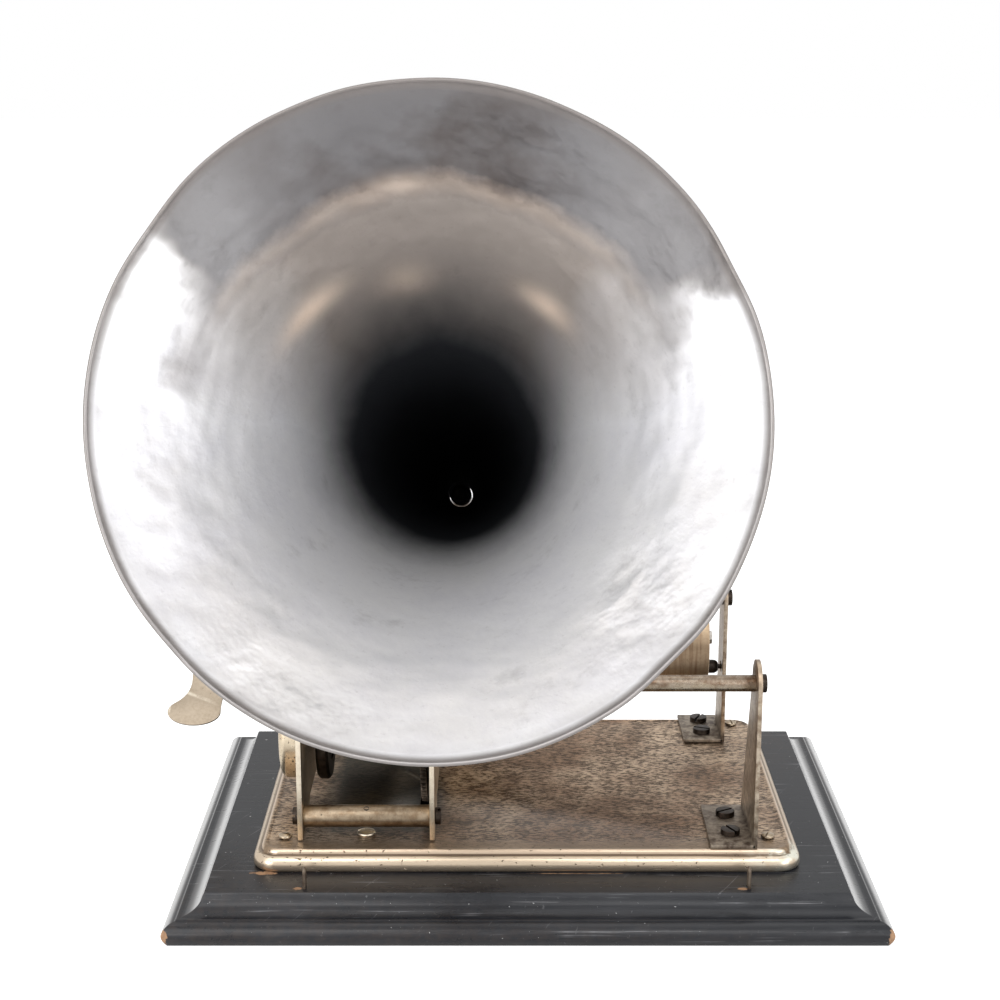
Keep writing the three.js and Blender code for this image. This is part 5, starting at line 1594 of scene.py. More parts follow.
@dataclass
class Guides:
    """The two rods, the feed screw and the brackets at their right ends."""

    rod_radius: float = 3.15 * MM
    tenon: float = 2 * MM
    plate_x: float = RIGHT_PLATE_X
    rod_z: float = ROD_Z
    front_y: float = FRONT_ROD_Y
    rear_y: float = REAR_ROD_Y
    left_x: float = RIGHT_PLATE_X + PLATE_SHEET
    right_x: float = 85.9 * MM
    bracket_right: float = 87.5 * MM
    sheet: float = 1.6 * MM
    foot_left: float = 69.8 * MM
    bed_top: float = BED_TOP
    front_head: float = 9 * MM
    front_foot_rear: float = -22.8 * MM
    rear_head: float = 8.55 * MM
    rear_foot: float = 30 * MM
    rear_upright: float = 23 * MM
    screw_axis: Point = (56 * MM, 55.3 * MM)
    bearing: float = 2.475 * MM
    screw_radius: float = 2.95 * MM
    screw_root: float = 2.6 * MM
    screw_pitch: float = 1.0 * MM
    screw_from: float = -31 * MM
    screw_to: float = 78.5 * MM
    nose_from: float = 82.4 * MM
    nose: float = 2.4 * MM
    tip: float = 86.7 * MM
    tip_radius: float = 1.0 * MM

    def rods(self) -> None:
        """Turns both rods."""
        for name, y in (("front_rod", self.front_y), ("rear_rod", self.rear_y)):
            bm = bmesh.new()
            place = along_x(0, y, self.rod_z)
            tenon = rounded_rod(self.plate_x, self.left_x + MM, self.tenon, 0.2 * MM)
            add_turned(bm, rounded_rod(self.left_x, self.right_x, self.rod_radius), place, 64)
            add_turned(bm, tenon, place, 32)
            settle(to_object(f"{name}_turned", bm), ROD_NICKEL, Body.ROOT, [name])

    def feed_screw(self) -> None:
        """Turns the screw's core with its coned nose and winds the thread round it."""
        place = along_x(0, *self.screw_axis)
        root, full = self.screw_root, self.screw_radius
        core = [(self.plate_x, 0.0), (self.plate_x, self.tenon), (self.left_x, self.tenon),
                (self.left_x + 0.3 * MM, full), (self.screw_from - 0.3 * MM, full),
                (self.screw_from + 0.2 * MM, root), (self.screw_to, root),
                (self.screw_to + 0.6 * MM, full), (self.nose_from, full)]
        core += [(self.nose_from + self.nose * sine, self.tip_radius + (full - self.tip_radius) * cosine)
                 for sine, cosine in quarter(8, 1)]
        core += [(self.tip - 0.3 * MM, self.tip_radius), (self.tip, self.tip_radius * 0.7),
                 (self.tip, 0.0)]
        bm = bmesh.new()
        add_turned(bm, core, place, 48)
        turns = int((self.screw_to - self.screw_from) / self.screw_pitch)
        thread = bmesh.new()
        steps = 20
        low = root - 0.1 * MM
        spots = ((0.0, low), (0.22, root), (0.44, full), (0.56, full), (0.78, root), (1.0, low))
        verts = [thread.verts.new((radius, 0.0, self.screw_from + share * self.screw_pitch))
                 for share, radius in spots]
        edges = [thread.edges.new(pair) for pair in zip(verts, verts[1:])]
        bmesh.ops.spin(thread, geom=verts + edges, cent=(0, 0, 0), axis=(0, 0, 1), angle=TURN * turns,
                       dvec=(0.0, 0.0, self.screw_pitch / steps), steps=steps * turns)
        bmesh.ops.remove_doubles(thread, verts=thread.verts, dist=1e-6)
        bmesh.ops.holes_fill(thread, edges=thread.edges, sides=8)
        bmesh.ops.recalc_face_normals(thread, faces=thread.faces)
        absorb(bm, thread, place)
        piece = to_object("threaded_feed_screw", bm, 28)
        settle(piece, DARK_STEEL, Body.FEED, ["feed_screw"])

    def front_upright(self) -> Loop:
        """Draws the front bracket.

        Returns:
            Its outline in Y and Z.
        """
        floor = self.bed_top
        head = arc_loop((self.front_y, self.rod_z), self.front_head, -0.12, math.pi, 32)
        return [(self.front_y - self.front_head, floor), (self.front_foot_rear, floor), *head]

    def rear_outline(self) -> Loop:
        """Draws the rear bracket.

        Returns:
            Its outline in Y and Z.
        """
        front = self.rear_y - self.rear_head
        head = arc_loop((self.rear_y, self.rod_z), self.rear_head, 0.0, math.pi, 32)
        elbow = (self.rear_y + self.rear_head, (self.bed_top + self.rod_z) / 2)
        return [(front, self.bed_top), (front + self.rear_upright, self.bed_top), elbow, *head]

    def bracket(self, name: str, upright_loop: Loop, foot_y: Point, holes: list[Loop], node: str) -> None:
        """Makes a bracket: an upright with its foot bent in over the bed.

        Args:
            name: the piece's name.
            upright_loop: the upright's outline in Y and Z.
            foot_y: the foot's front and rear.
            holes: the outlines of its holes.
            node: the CAD node that it replaces.
        """
        bm = bmesh.new()
        inner = self.bracket_right - self.sheet
        add_plate(bm, [upright_loop, *holes], self.sheet, facing_x(inner), 0.3 * MM)
        low, high = foot_y
        bend = 1.0 * MM
        foot = [(self.foot_left, low), (inner + bend, low), (inner + bend, high), (self.foot_left, high)]
        add_plate(bm, [foot], self.sheet, upright(0, 0, self.bed_top), 0.3 * MM)
        settle(to_object(name, bm), BRACKET_NICKEL, Body.ROOT, [node])

    def build(self) -> None:
        """Makes the rods, the screw and the brackets."""
        self.rods()
        self.feed_screw()
        front = self.front_y - self.front_head
        self.bracket("front_rod_bracket", self.front_upright(), (front, self.front_foot_rear), [],
                     "front_bracket")
        rear = self.rear_y - self.rear_head
        bearing = ring_loop(self.bearing, 28, self.screw_axis)
        self.bracket("rear_rod_bracket", self.rear_outline(), (rear, rear + self.rear_foot), [bearing],
                     "rear_bracket")


@dataclass
class Winding:
    """The butterfly key with its sleeve."""

    axis: Point = BARREL_AXIS
    outer_x: float = -148.6 * MM
    half: float = 11 * MM
    tip_rise: float = 5.8 * MM
    reach: float = 26.6 * MM
    sheet: float = 1.2 * MM
    notch: float = 9.4 * MM
    neck: float = 5 * MM
    waist: float = 6.5 * MM
    hub: float = 5.5 * MM
    hub_x: Point = (-114 * MM, -100 * MM)
    plate_x: float = -113 * MM
    sweep_share: float = 0.62
    lean: float = 40.0

    def outline(self) -> Loop:
        """Draws the key's two wings and the notch between them.

        Returns:
            The outline in X and across it.
        """
        wing_x = self.outer_x + self.half
        off = self.reach - self.tip_rise
        right = wing_x + self.half
        sweep = TURN * self.sweep_share
        waist_x = self.outer_x + self.notch
        lower = curve_loop((self.plate_x, -self.neck), (right, -self.neck), (right, -off), 16)
        for i in range(1, 49):
            angle = -sweep * i / 48
            lower.append((wing_x + self.half * math.cos(angle), -off + self.tip_rise * math.sin(angle)))
        end_x, end_off = lower[-1]
        slope = -self.tip_rise * math.cos(sweep) / (-self.half * math.sin(sweep))
        pull = end_off + slope * (waist_x - end_x)
        lower += curve_loop((end_x, end_off), (waist_x, pull), (waist_x, -self.waist), 12)[1:]
        upper = [(x, -y) for x, y in reversed(lower)]
        return [*lower, *upper]

    def build(self) -> None:
        """Makes the key, whose lower wing leans forward."""
        y, z = self.axis
        bm = bmesh.new()
        leaned = Matrix.Rotation(math.radians(-self.lean), 4, "X")
        middle = Matrix.Translation((0.0, self.sheet / 2, 0.0)) @ FACING_Y
        place = Matrix.Translation((0.0, y, z)) @ leaned @ middle
        add_plate(bm, [self.outline()], self.sheet, place, 0.35 * MM, 3)
        add_turned(bm, rounded_rod(*self.hub_x, self.hub, 0.6 * MM), along_x(0, y, z), 64)
        settle(to_object("butterfly_key", bm, 36), KEY_NICKEL, Body.WINDING, ["winding_key"])


@dataclass
class DrawnCup:
    """The deep-drawn cup over the second arbor's end."""

    axis: Point = SECOND_AXIS
    radius: float = 21.3 * MM
    seat_x: float = LEFT_PLATE_X
    depth: float = 9.7 * MM
    wall: float = 0.8 * MM
    shoulder: float = 3.0 * MM

    def build(self) -> None:
        """Turns the cup with its round shoulder and faint drawn rings."""
        far = self.seat_x - self.depth
        outer = [(far, 0.0), (far + 0.05 * MM, 4 * MM), (far, 5 * MM), (far, self.radius - self.shoulder)]
        outer += [(far + self.shoulder * (1 - cosine), self.radius - self.shoulder * (1 - sine))
                  for sine, cosine in quarter(12, 1)]
        inner = self.radius - self.wall
        outer += [(self.seat_x - 0.2 * MM, self.radius), (self.seat_x, self.radius - 0.2 * MM),
                  (self.seat_x, inner), (far + self.shoulder, inner),
                  (far + self.wall, self.radius - self.shoulder), (far + self.wall, 0.0)]
        turned_piece("drawn_cup", outer, along_x(0, *self.axis), 96, CUP_NICKEL, Body.ROOT,
                     ["arbor_cover"])


@dataclass
class MotorWorks:
    """The turned parts of the motor: barrel, brake disc, governor and brake lever."""

    barrel_axis: Point = BARREL_AXIS
    barrel_x: Point = (-74.6 * MM, -51.6 * MM)
    barrel_radius: float = 28 * MM
    arbor_radius: float = 3.5 * MM
    second_axis: Point = SECOND_AXIS
    disc_x: Point = (-82.9 * MM, -77.9 * MM)
    disc_radius: float = 21.8 * MM
    governor_axis: Point = (-22.1 * MM, 86.4 * MM)
    fixed_collar: float = -72.5 * MM
    sliding_collar: float = -50 * MM
    collar_radius: float = 4 * MM
    collar_half: float = 2.5 * MM
    arm_bow: float = 7 * MM
    arm_strip: float = 0.7 * MM
    arm_width: float = 4 * MM
    weight_radius: float = 3.4 * MM
    governor_disc: float = 12 * MM
    disc_sheet: float = 1.6 * MM
    disc_bore: float = 1.7 * MM
    plate_x: float = LEFT_PLATE_X
    lever_pivot: Point = (-36 * MM, 84 * MM)
    lever_pad: Point = (-29.218 * MM, 65.25 * MM)
    lever_knob: Point = (-44 * MM, 112 * MM)
    lever_x: float = -81.6 * MM
    lever_sheet: float = 2 * MM
    lever_eye: float = 2.5 * MM
    lever_end: float = 1.667 * MM
    lever_pin: float = 1.8 * MM
    knob_radius: float = 4 * MM
    pad_radius: float = 2.4 * MM

    def barrel(self) -> None:
        """Turns the spring barrel with its rim and raised lid ring."""
        left, right = self.barrel_x
        radius, bore, wall = self.barrel_radius, self.arbor_radius + 0.3 * MM, 1.2 * MM
        ring = radius - 3 * MM
        profile = [
            (left, bore), (left, 9 * MM), (left + 0.3 * MM, 9.4 * MM), (left + 0.3 * MM, ring - 0.4 * MM),
            (left, ring), (left, radius - 0.4 * MM), (left + 0.4 * MM, radius), (left + 2 * MM, radius),
            (left + 2.3 * MM, radius - 0.3 * MM), (left + 2.6 * MM, radius), (right - 0.4 * MM, radius),
            (right, radius - 0.4 * MM), (right, radius - wall), (left + wall, radius - wall),
            (left + wall, bore), (left, bore),
        ]
        turned_piece("turned_spring_barrel", profile, along_x(0, *self.barrel_axis), 96, BRASS,
                     Body.BARREL, ["spring_barrel"])

    def brake_disc(self) -> None:
        """Turns the brake disc with its chamfered rim and hollowed faces."""
        left, right = self.disc_x
        radius, bore, edge = self.disc_radius, 2.8 * MM, 1.0 * MM
        web, dip = 14 * MM, 0.6 * MM
        profile = [
            (left, bore), (left, 6 * MM), (left + dip, 6.6 * MM), (left + dip, web),
            (left, web + 0.6 * MM), (left, radius - edge), (left + edge, radius), (right - edge, radius),
            (right, radius - edge), (right, web + 0.6 * MM), (right - dip, web),
            (right - dip, 6.6 * MM), (right, 6 * MM), (right, bore), (left, bore),
        ]
        turned_piece("turned_brake_disc", profile, along_x(0, *self.second_axis), 96, DARK_STEEL,
                     Body.SECOND, ["brake_disc"])

    def governor(self) -> None:
        """Bows the three spring arms, turns their weights and the friction disc."""
        y, z = self.governor_axis
        seat = self.collar_radius + 0.3 * MM
        start, end = self.fixed_collar, self.sliding_collar
        middle = (start + end) / 2
        for number in range(3):
            turned = Matrix.Translation((0, y, z)) @ Matrix.Rotation(number * TURN / 3, 4, "X")
            bm = bmesh.new()
            line = [(start + (end - start) * i / 32,
                     seat + self.arm_bow * math.sin(math.pi * i / 32) ** 2) for i in range(33)]
            strip = [*line, *[(x, up + self.arm_strip) for x, up in reversed(line)]]
            lay = turned @ Matrix.Translation((0, 0, -self.arm_width / 2))
            add_plate(bm, [strip], self.arm_width, lay, 0.1 * MM, 1)
            add_turned(bm, ball(self.weight_radius), turned @ along_x(middle, seat + self.arm_bow, 0), 32)
            settle(to_object(f"bowed_governor_arm_{number + 1}", bm), BRASS, Body.GOVERNOR,
                   [f"governor_arm_{number + 1}"])
        left = end + self.collar_half
        disc = rounded_tube(left, left + self.disc_sheet, self.governor_disc, self.disc_bore, 0.3 * MM)
        turned_piece("turned_governor_disc", disc, along_x(0, y, z), 64, STEEL, Body.GOVERNOR,
                     ["governor_disc"])

    def brake_lever(self) -> None:
        """Cuts the lever's two arms and adds its eye, leather pad and ball knob."""
        bm = bmesh.new()
        left, right = self.lever_x, self.lever_x + self.lever_sheet
        pivot = Vector(self.lever_pivot)
        for end in (Vector(self.lever_pad), Vector(self.lever_knob)):
            reach = end - pivot
            side = Vector((-reach.y, reach.x)).normalized()
            wide, narrow = side * self.lever_eye, side * self.lever_end
            loop = [tuple(spot) for spot in (pivot + wide, end + narrow, end - narrow, pivot - wide)]
            add_plate(bm, [loop], self.lever_sheet, facing_x(left), 0.25 * MM)
        place = along_x(0, *pivot)
        add_turned(bm, rounded_rod(left, right, self.lever_eye, 0.25 * MM), place, 40)
        add_turned(bm, rounded_rod(self.plate_x, right, self.lever_pin, 0.2 * MM), place, 32)
        middle = left + self.lever_sheet / 2
        add_turned(bm, ball(self.knob_radius), upright(middle, *self.lever_knob), 40)
        settle(to_object("start_lever", bm), NICKEL, Body.BRAKE, ["brake_lever"])
        pad = rounded_rod(left, right, self.pad_radius, 0.3 * MM)
        turned_piece("leather_brake_pad", pad, along_x(0, *self.lever_pad), 32, LEATHER, Body.BRAKE)

    def build(self) -> None:
        """Makes the motor's turned parts."""
        self.barrel()
        self.brake_disc()
        self.governor()
        self.brake_lever()


@dataclass
class Mandrel:
    """The tapered mandrel that takes the cylinder record."""

    axis: Point = (2 * MM, 86.4 * MM)
    left: float = -30.5 * MM
    right: float = 72.3 * MM
    left_radius: float = 23 * MM
    right_radius: float = 21 * MM
    wall: float = 1.5 * MM
    web: float = 3 * MM
    web_inset: float = 4 * MM
    hub: float = 7 * MM
    bore: float = 2.8 * MM

    def radius_at(self, x: float) -> float:
        """Returns the taper's radius at x."""
        share = (x - self.left) / (self.right - self.left)
        return self.left_radius + (self.right_radius - self.left_radius) * share

    def build(self) -> None:
        """Turns the taper with its end webs."""
        left, right, soft = self.left, self.right, 0.35 * MM
        rim_in = right - self.web_inset
        web_in = rim_in - self.web
        inner = self.right_radius - self.wall
        profile = [(left, self.bore), (left, self.left_radius - soft)]
        profile += [(left + soft * (1 - cosine), self.left_radius - soft * (1 - sine))
                    for sine, cosine in quarter(4)]
        for i in range(1, 16):
            x = left + soft + (right - left - 2 * soft) * i / 16
            profile.append((x, self.radius_at(x)))
        profile += [(right - soft * (1 - sine), self.right_radius - soft * (1 - cosine))
                    for sine, cosine in quarter(4)]
        profile += [
            (right, inner), (rim_in + soft, inner - 0.2 * MM), (rim_in, inner - 0.8 * MM),
            (rim_in, self.hub + 0.6 * MM), (rim_in + 0.5 * MM, self.hub), (right - 0.7 * MM, self.hub),
            (right - 0.3 * MM, self.hub - 0.4 * MM), (right - 0.3 * MM, self.bore), (web_in, self.bore),
            (web_in, self.radius_at(web_in) - self.wall), (left + self.web, self.left_radius - self.wall),
            (left + self.web, self.bore), (left, self.bore),
        ]
        turned_piece("tapered_mandrel", profile, along_x(0, *self.axis), 128, MANDREL_NICKEL, Body.DRUM,
                     ["mandrel"], 40)


@dataclass
class Carriage:
    """The carriage: sleeve on the rear rod, arched arm over the mandrel and reproducer ring."""

    middle_x: float = -25.5 * MM
    rod_z: float = ROD_Z
    rear_y: float = REAR_ROD_Y
    front_y: float = FRONT_ROD_Y
    sleeve_x: Point = (-32 * MM, -6 * MM)
    sleeve_radius: float = 5.2 * MM
    flange: float = 7.5 * MM
    flange_width: float = 2 * MM
    bore: float = 3.35 * MM
    hub_x: Point = (-29.7 * MM, -8.3 * MM)
    hub_radius: float = 8.1 * MM
    hub_bore: float = 5.5 * MM
    arm_half: float = 4.5 * MM
    rib: float = 3 * MM
    rise: float = 20.6 * MM
    ring_centre_y: float = 6 * MM
    ring_radius: float = 20.5 * MM
    ring_bore: float = 17.3 * MM
    ring_z: Point = (119.2 * MM, 128 * MM)
    pad_z: Point = (89.85 * MM, 92.85 * MM)
    pad_half: float = 4 * MM

    def sleeve(self) -> None:
        """Turns the sleeve and its two flanges."""
        left, right = self.sleeve_x
        wide, soft = self.flange_width, 0.3 * MM
        profile = [
            (left, self.bore), (left, self.flange - soft), (left + soft, self.flange),
            (left + wide - soft, self.flange), (left + wide, self.flange - soft),
            (left + wide, self.sleeve_radius + soft), (left + wide + soft, self.sleeve_radius),
            (right - wide - soft, self.sleeve_radius), (right - wide, self.sleeve_radius + soft),
            (right - wide, self.flange - soft), (right - wide + soft, self.flange),
            (right - soft, self.flange), (right, self.flange - soft), (right, self.bore),
            (left, self.bore),
        ]
        turned_piece("turned_sleeve", profile, along_x(0, self.rear_y, self.rod_z), 64, ROD_NICKEL,
                     Body.CARRIAGE, ["carriage_sleeve"])

    def route(self) -> list[Point]:
        """Draws the arm's middle line.

        Returns:
            Its points from the hub to the ring, and on to the foot.
        """
        top = sum(self.ring_z) / 2
        return [
            (self.rear_y, self.rod_z + self.hub_radius / 2),
            (self.rear_y - self.hub_radius, self.rod_z + self.rise),
            (self.ring_centre_y + self.ring_radius, top), (self.ring_centre_y - self.ring_radius, top),
            (self.front_y + self.hub_radius, self.rod_z + self.rise),
            (self.front_y, self.rod_z + 3.15 * MM + self.rib),
        ]

    def arm(self) -> None:
        """Casts the arch as one with its hub, ring and foot."""
        line = [Vector(spot) for spot in smooth_line(self.route(), 10)]
        clear = self.ring_bore + 0.4 * MM
        bm = bmesh.new()
        rear = [spot for spot in line if spot.x > self.ring_centre_y + clear]
        front = [spot for spot in line if spot.x < self.ring_centre_y - clear]
        for stretch in (rear, front):
            upper, lower = [], []
            for i, spot in enumerate(stretch):
                along = (stretch[min(i + 1, len(stretch) - 1)] - stretch[max(i - 1, 0)]).normalized()
                side = Vector((-along.y, along.x))
                upper.append(spot + side * self.rib)
                lower.append(spot - side * self.rib)
            loop = [tuple(spot) for spot in [*upper, *reversed(lower)] if not self.in_hub(spot)]
            add_plate(bm, [loop], 2 * self.arm_half, facing_x(self.middle_x - self.arm_half), 0.9 * MM, 3)
        low, high = self.ring_z
        ring = rounded_tube(low, high, self.ring_radius, self.ring_bore, 0.5 * MM)
        add_turned(bm, ring, upright(self.middle_x, self.ring_centre_y, 0), 96)
        hub = rounded_tube(*self.hub_x, self.hub_radius, self.hub_bore, 0.5 * MM)
        add_turned(bm, hub, along_x(0, self.rear_y, self.rod_z), 64)
        x0, x1 = self.middle_x - self.arm_half, self.middle_x + self.arm_half
        y0, y1 = self.front_y - self.pad_half, self.front_y + self.pad_half
        pad = [(x0, y0), (x1, y0), (x1, y1), (x0, y1)]
        add_plate(bm, [pad], self.pad_z[1] - self.pad_z[0], upright(0, 0, self.pad_z[0]), 0.6 * MM, 3)
        settle(to_object("cast_carriage_arm", bm, 40), NICKEL, Body.LIFT, ["carriage_arm"])

    def in_hub(self, spot: Vector) -> bool:
        """Returns whether a point lies in the hub's bore."""
        return (Vector(spot) - Vector((self.rear_y, self.rod_z))).length < self.hub_bore + 0.4 * MM

    def build(self) -> None:
        """Makes the sleeve and the arm."""
        self.sleeve()
        self.arm()


@dataclass
class Reproducer:
    """The reproducer's body with its neck, and the ring that holds the diaphragm."""

    centre: Point = (-25.5 * MM, 6 * MM)
    top: float = 129.7 * MM
    radius: float = 17 * MM
    height: float = 9.7 * MM
    flange: float = 18.8 * MM
    flange_height: float = 1.4 * MM
    wall: float = 1.6 * MM
    neck: float = 5.5 * MM
    neck_rise: float = 5 * MM
    ring: float = 1.8 * MM
    gasket: float = 2.2 * MM
    stack: float = 2.4 * MM

    def body(self) -> None:
        """Turns the body with its flange, stepped crown and neck."""
        inner = self.radius - self.wall
        chamber = inner - self.gasket
        bottom = -self.height
        shelf = bottom + self.ring + self.stack
        roof = -self.flange_height - self.wall
        soft = 0.3 * MM
        profile = [
            (bottom, inner), (bottom, self.radius - soft), (bottom + soft, self.radius),
            (-self.flange_height, self.radius), (-self.flange_height, self.flange - soft),
            (-self.flange_height + soft, self.flange), (-soft, self.flange), (0.0, self.flange - soft),
            (0.0, 15 * MM), (-0.4 * MM, 14.6 * MM), (-0.4 * MM, 13.6 * MM), (0.0, 13.2 * MM),
            (0.0, self.neck + 2.2 * MM), (0.2 * MM, self.neck + 1.2 * MM),
            (0.6 * MM, self.neck + 0.4 * MM), (1.3 * MM, self.neck),
            (self.neck_rise - soft, self.neck), (self.neck_rise, self.neck - soft),
            (self.neck_rise, self.neck - MM), (roof, self.neck - MM), (roof, chamber), (shelf, chamber),
            (shelf, inner), (bottom, inner),
        ]
        turned_piece("turned_reproducer", profile, upright(*self.centre, self.top), 96, PILLAR_NICKEL,
                     Body.LIFT, ["reproducer_body"])

    def retaining_ring(self) -> None:
        """Turns the ring under the diaphragm."""
        outer = self.radius - self.wall - 0.2 * MM
        bottom = -self.height
        ring = rounded_tube(bottom, bottom + self.ring, outer, outer - self.gasket, 0.25 * MM)
        turned_piece("turned_retaining_ring", ring, upright(*self.centre, self.top), 96, BRASS, Body.LIFT,
                     ["retaining_ring"])

    def build(self) -> None:
        """Makes the body and the ring."""
        self.body()
        self.retaining_ring()


@dataclass
class HornAssembly:
    """The bent elbow and the spun horn with its battered, rolled mouth."""

    throat: Triple = HORN_THROAT
    base: Triple = (-25.5 * MM, 6 * MM, 136.1 * MM)
    tilt: float = HORN_TILT
    length: float = HORN_LENGTH
    throat_radius: float = 4.5 * MM
    mouth_radius: float = 73.2 * MM
    wall: float = 1.0 * MM
    bead: float = 0.5 * MM
    cone_share: float = 0.45
    flare: float = 6.0
    elbow_radius: float = 4.2 * MM
    elbow_bend: float = 10 * MM
    elbow_rise: float = 10.2 * MM
    elbow_reach: float = 22 * MM
    sides: int = 224
    dents: tuple[Spot, ...] = (
        (1.0, 2.55, 0.08, 0.14, 0.7), (1.0, 0.46, 0.07, 0.13, 0.8), (0.99, 3.85, 0.06, 0.12, 0.5),
        (1.0, 5.5, 0.06, 0.11, 0.6), (0.95, 1.2, 0.03, 0.10, 0.5), (0.93, 4.75, 0.04, 0.14, 0.5),
        (0.97, 0.62, 0.02, 0.05, 0.5), (0.965, 2.8, 0.02, 0.06, 0.4),
    )

    def radius_at(self, share: float) -> float:
        """Returns the inner radius at a share of the length."""
        grow = self.cone_share * share + (1 - self.cone_share) * share ** self.flare
        return self.throat_radius + (self.mouth_radius - self.throat_radius) * grow

    def profile(self) -> list[Point]:
        """Draws the horn's section.

        Returns:
            The closed section: inner wall, rolled bead and outer wall.
        """
        shares = [1 - (1 - i / 96) ** 1.6 for i in range(97)]
        inner = [(share * self.length, self.radius_at(share)) for share in shares]
        lip = self.length - self.bead
        inner = [(along, radius) for along, radius in inner if along < lip - 0.6 * MM]
        centre = (lip, self.mouth_radius + self.wall / 2)
        roll = arc_loop(centre, self.bead, -TURN / 4, TURN / 4, 12)
        outer = [(along, radius + self.wall) for along, radius in reversed(inner)]
        return [*inner, *roll, *outer, inner[0]]

    def batter(self, bm: bmesh.types.BMesh) -> None:
        """Dents the mouth: every move goes inwards or back, so the size holds.

        Args:
            bm: the horn with its axis along Z.
        """
        for vert in bm.verts:
            share = vert.co.z / self.length
            if share < 0.3:
                continue
            angle = math.atan2(vert.co.y, vert.co.x)
            reach = Vector((math.cos(angle) * 1.6, math.sin(angle) * 1.6, share * 2.2))
            soft = 0.5 + 0.5 * noise.noise(reach * 1.7)
            near = max(0.0, (share - 0.55) / 0.45) ** 2
            push = near * 0.55 * MM * soft
            for at, turned, wide, arc, deep in self.dents:
                gap = math.remainder(angle - turned, TURN) / arc
                push += deep * MM * math.exp(-gap * gap - ((share - at) / wide) ** 2)
            hammer = noise.noise(Vector((vert.co.x, vert.co.y, vert.co.z * 0.7)) * 45.0)
            push += max(0.0, hammer) * 0.3 * MM * near
            radius = math.hypot(vert.co.x, vert.co.y)
            keep = (radius - push) / radius
            back = near * 0.7 * MM * (0.5 + 0.5 * noise.noise(reach * 2.3 + Vector((5.0, 2.0, 1.0))))
            vert.co = Vector((vert.co.x * keep, vert.co.y * keep, vert.co.z - back))

    def horn(self) -> None:
        """Spins the horn, batters its mouth and lays it along its axis."""
        fresh = bmesh.new()
        add_turned(fresh, self.profile(), Matrix.Identity(4), self.sides)
        self.batter(fresh)
        place = Matrix.Translation(self.throat) @ Matrix.Rotation(math.radians(90 - self.tilt), 4, "X")
        bm = bmesh.new()
        absorb(bm, fresh, place)
        settle(to_object("spun_horn", bm, 60), HornMetal(), Body.HORN, ["horn"])

    def elbow(self) -> None:
        """Bends the elbow tube out of the neck and along the horn's axis."""
        tilt = math.radians(self.tilt)
        sweep = math.pi / 2 - tilt
        straight = self.elbow_rise - self.elbow_bend * math.sin(sweep)
        route = [Vector((0, 0, -4.7 * MM)), Vector((0, 0, -2 * MM)), Vector((0, 0, straight / 2))]
        for i in range(13):
            angle = sweep * i / 12
            route.append(Vector((0, self.elbow_bend * (math.cos(angle) - 1),
                                 straight + self.elbow_bend * math.sin(angle))))
        end = route[-1]
        for share in (0.3, 0.65, 1.0):
            ahead = self.elbow_reach * share
            route.append(end + Vector((0, -ahead * math.cos(tilt), ahead * math.sin(tilt))))
        base = Vector(self.base)
        tube = tube_object("bent_elbow", [base + spot for spot in route], self.elbow_radius, 12, 1.0 * MM)
        settle(tube, HornMetal(name="elbow_aluminium"), Body.HORN, ["horn_elbow"])

    def build(self) -> None:
        """Makes the horn and its elbow."""
        self.horn()
        self.elbow()


@dataclass
class Fastenings:
    """Small things on the bedplate that show in front of the motor."""

    hold_x: float = -62.0 * MM
    hold_y: float = -46.0 * MM
    bed_top: float = 22.6 * MM

    def build(self) -> None:
        """Makes the bright low screw under the front pillar."""
        head = ScrewHead(3.6 * MM, 1.2 * MM, domed=True, slot=0.9 * MM, soft=0.1 * MM)
        bm = bmesh.new()
        head.add(bm, upright(self.hold_x, self.hold_y, self.bed_top) @ Matrix.Rotation(1.3, 4, "Z"))
        settle(to_object("motor_hold_down_screw", bm, 30), PALE_NICKEL, Body.ROOT)


@dataclass
class CadLooks:
    """Finishes of the CAD nodes that keep their own shape."""

    looks: dict[str, Metal | Plain] = field(default_factory=lambda: {
        "winding_arbor": STEEL, "ratchet_wheel": STEEL, "click_pawl": DARK_STEEL, "mainspring": STEEL,
        "great_wheel": BRASS, "second_arbor": STEEL, "second_wheel": DARK_STEEL, "mandrel_shaft": STEEL,
        "mandrel_wheel": BRASS, "mandrel_feed_gear": BRASS, "feed_idler": BRASS, "idler_stud": STEEL,
        "feed_screw_gear": BRASS, "governor_spindle": STEEL, "half_nut": BRASS, "diaphragm": MICA,
        "diaphragm_gasket": RUBBER, "stylus_lever": STEEL,
    })

    def build(self) -> None:
        """Gives each kept node its finish."""
        for node, look in self.looks.items():
            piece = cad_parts[node]
            for spot in piece.material_slots:
                spot.material = finish(look)
            log.info("%s keeps its shape", node)


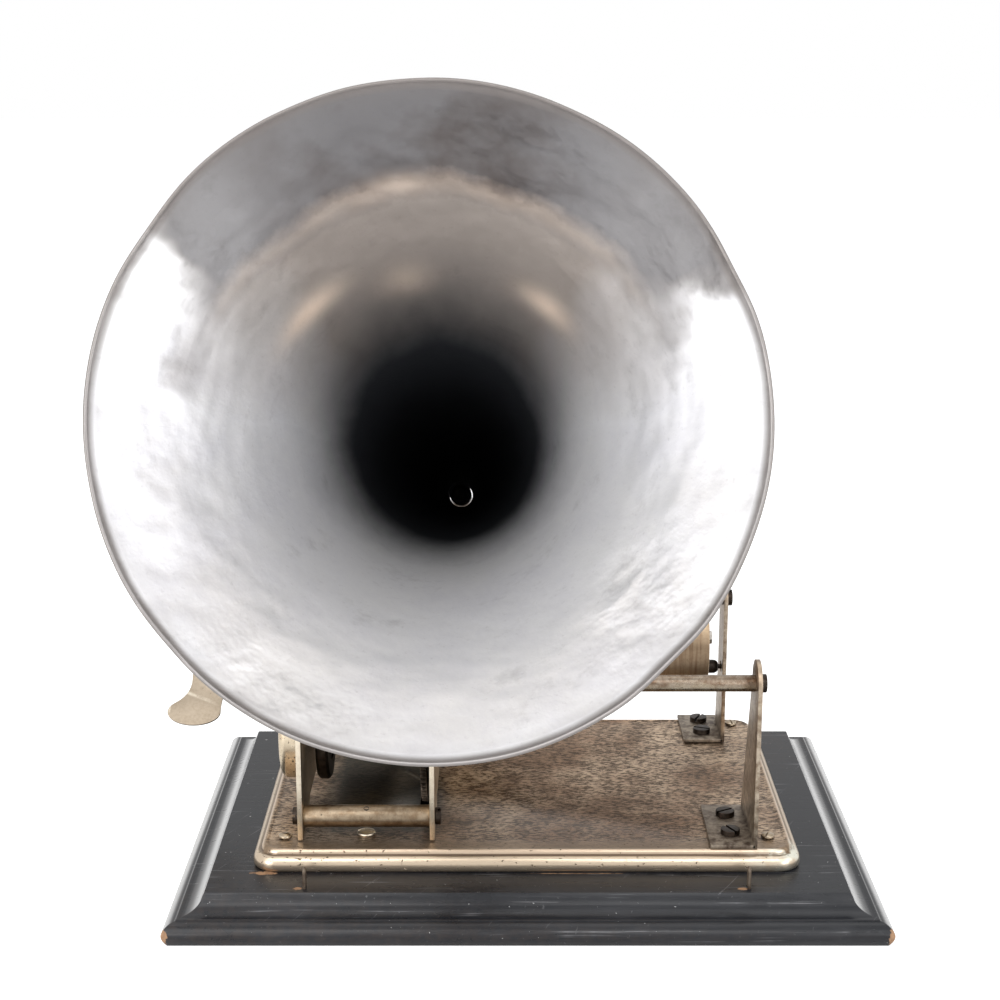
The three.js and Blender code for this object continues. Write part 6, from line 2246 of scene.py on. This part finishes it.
@dataclass
class Studio:
    """Camera, pale floor, world and soft lamps."""

    camera_at: Triple = (-10.2 * MM, -725.5 * MM, 327.2 * MM)
    camera_pitch: float = 75.84
    lens: float = 68.08
    sensor: float = 36.0
    clip: Point = (0.01, 60.0)
    floor_reach: float = 6.0
    floor_colour: Colour = (0.92, 0.92, 0.92)
    floor_lift: float = 0.50
    white: Colour = (1.0, 1.0, 1.0)
    world_light: float = 0.56
    lamps: tuple[tuple[str, Triple, Triple, float, float], ...] = (
        ("key_lamp", (-0.9, -0.9, 1.5), (0.0, 0.0, 0.08), 1.2, 8.0),
        ("left_panel", (-1.25, -1.5, 0.5), (0.0, -0.3, 0.2), 0.9, 13.0),
        ("right_panel", (1.25, -1.5, 0.5), (0.0, -0.3, 0.2), 0.9, 5.4),
        ("fill_lamp", (1.1, -0.7, 0.9), (0.0, 0.0, 0.1), 1.2, 4.0),
        ("front_lamp", (0.0, -1.5, 1.5), (0.0, -0.35, 0.2), 1.2, 13.0),
        ("top_lamp", (0.1, 0.5, 1.6), (0.0, 0.0, 0.1), 1.0, 3.0),
    )

    def camera(self) -> None:
        """Sets up the camera at the photograph's angle."""
        data = bpy.data.cameras.new("photo_camera")
        data.lens = self.lens
        data.sensor_width = data.sensor_height = self.sensor
        data.sensor_fit = "HORIZONTAL"
        data.clip_start, data.clip_end = self.clip
        camera = bpy.data.objects.new("photo_camera", data)
        camera.location = self.camera_at
        camera.rotation_euler = (math.radians(self.camera_pitch), 0.0, 0.0)
        bpy.context.scene.collection.objects.link(camera)
        bpy.context.scene.camera = camera

    def floor(self) -> None:
        """Lays the floor, which shows white to the camera and keeps the shadow."""
        bm = bmesh.new()
        bmesh.ops.create_grid(bm, x_segments=2, y_segments=2, size=self.floor_reach)
        bmesh.ops.translate(bm, verts=bm.verts, vec=(0.0, 0.0, -0.2 * MM))
        mesh = bpy.data.meshes.new("pale_floor")
        bm.to_mesh(mesh)
        bm.free()
        floor = bpy.data.objects.new("pale_floor", mesh)
        bpy.context.scene.collection.objects.link(floor)
        material, tree, shader = new_material(mesh.name)
        seen = tree.out("LightPath", "Is Camera Ray")
        tree.fill(shader, {
            "Base Color": self.floor_colour, "Roughness": 0.9, "Specular IOR Level": 0.1,
            "Emission Color": self.white, "Emission Strength": seen * self.floor_lift,
        })
        mesh.materials.append(material)

    def world(self) -> None:
        """Lights all round, and shows white to the camera and in reflections."""
        world = bpy.data.worlds.new("studio_world")
        bpy.context.scene.world = world
        world.use_nodes = True
        tree = Tree(world.node_tree)
        path = tree.add("LightPath").outputs
        seen = tree.most(path["Is Camera Ray"], path["Is Glossy Ray"])
        seen = tree.most(seen, path["Is Transmission Ray"])
        tree.fill(world.node_tree.nodes["Background"], {
            "Color": self.white, "Strength": tree.mix(seen, self.world_light, 1.0),
        })

    def lamp(self, name: str, place: Triple, aim: Triple, size: float, power: float) -> None:
        """Hangs a soft square lamp.

        Args:
            name: its name.
            place: where it hangs.
            aim: the point that it faces.
            size: the length of its side.
            power: watts.
        """
        data = bpy.data.lights.new(name, "AREA")
        data.shape = "SQUARE"
        data.size = size
        data.energy = power
        lamp = bpy.data.objects.new(name, data)
        lamp.location = place
        lamp.rotation_euler = (Vector(aim) - Vector(place)).to_track_quat("-Z", "Y").to_euler()
        bpy.context.scene.collection.objects.link(lamp)

    def build(self) -> None:
        """Sets the whole stage."""
        self.camera()
        self.floor()
        self.world()
        for lamp in self.lamps:
            self.lamp(*lamp)
        bpy.context.scene.view_settings.view_transform = "Standard"


def main() -> None:
    """Builds the stage and every sub-assembly."""
    Studio().build()
    for assembly in (
        WoodenBase(), Bedplate(), LidEyes(), Screws(), Fastenings(), MotorFrame(), Guides(), Winding(),
        DrawnCup(), MotorWorks(), Mandrel(), Carriage(), Reproducer(), HornAssembly(), CadLooks(),
    ):
        assembly.build()
        log.info("built %s", type(assembly).__name__)


if __name__ == "__main__":
    main()
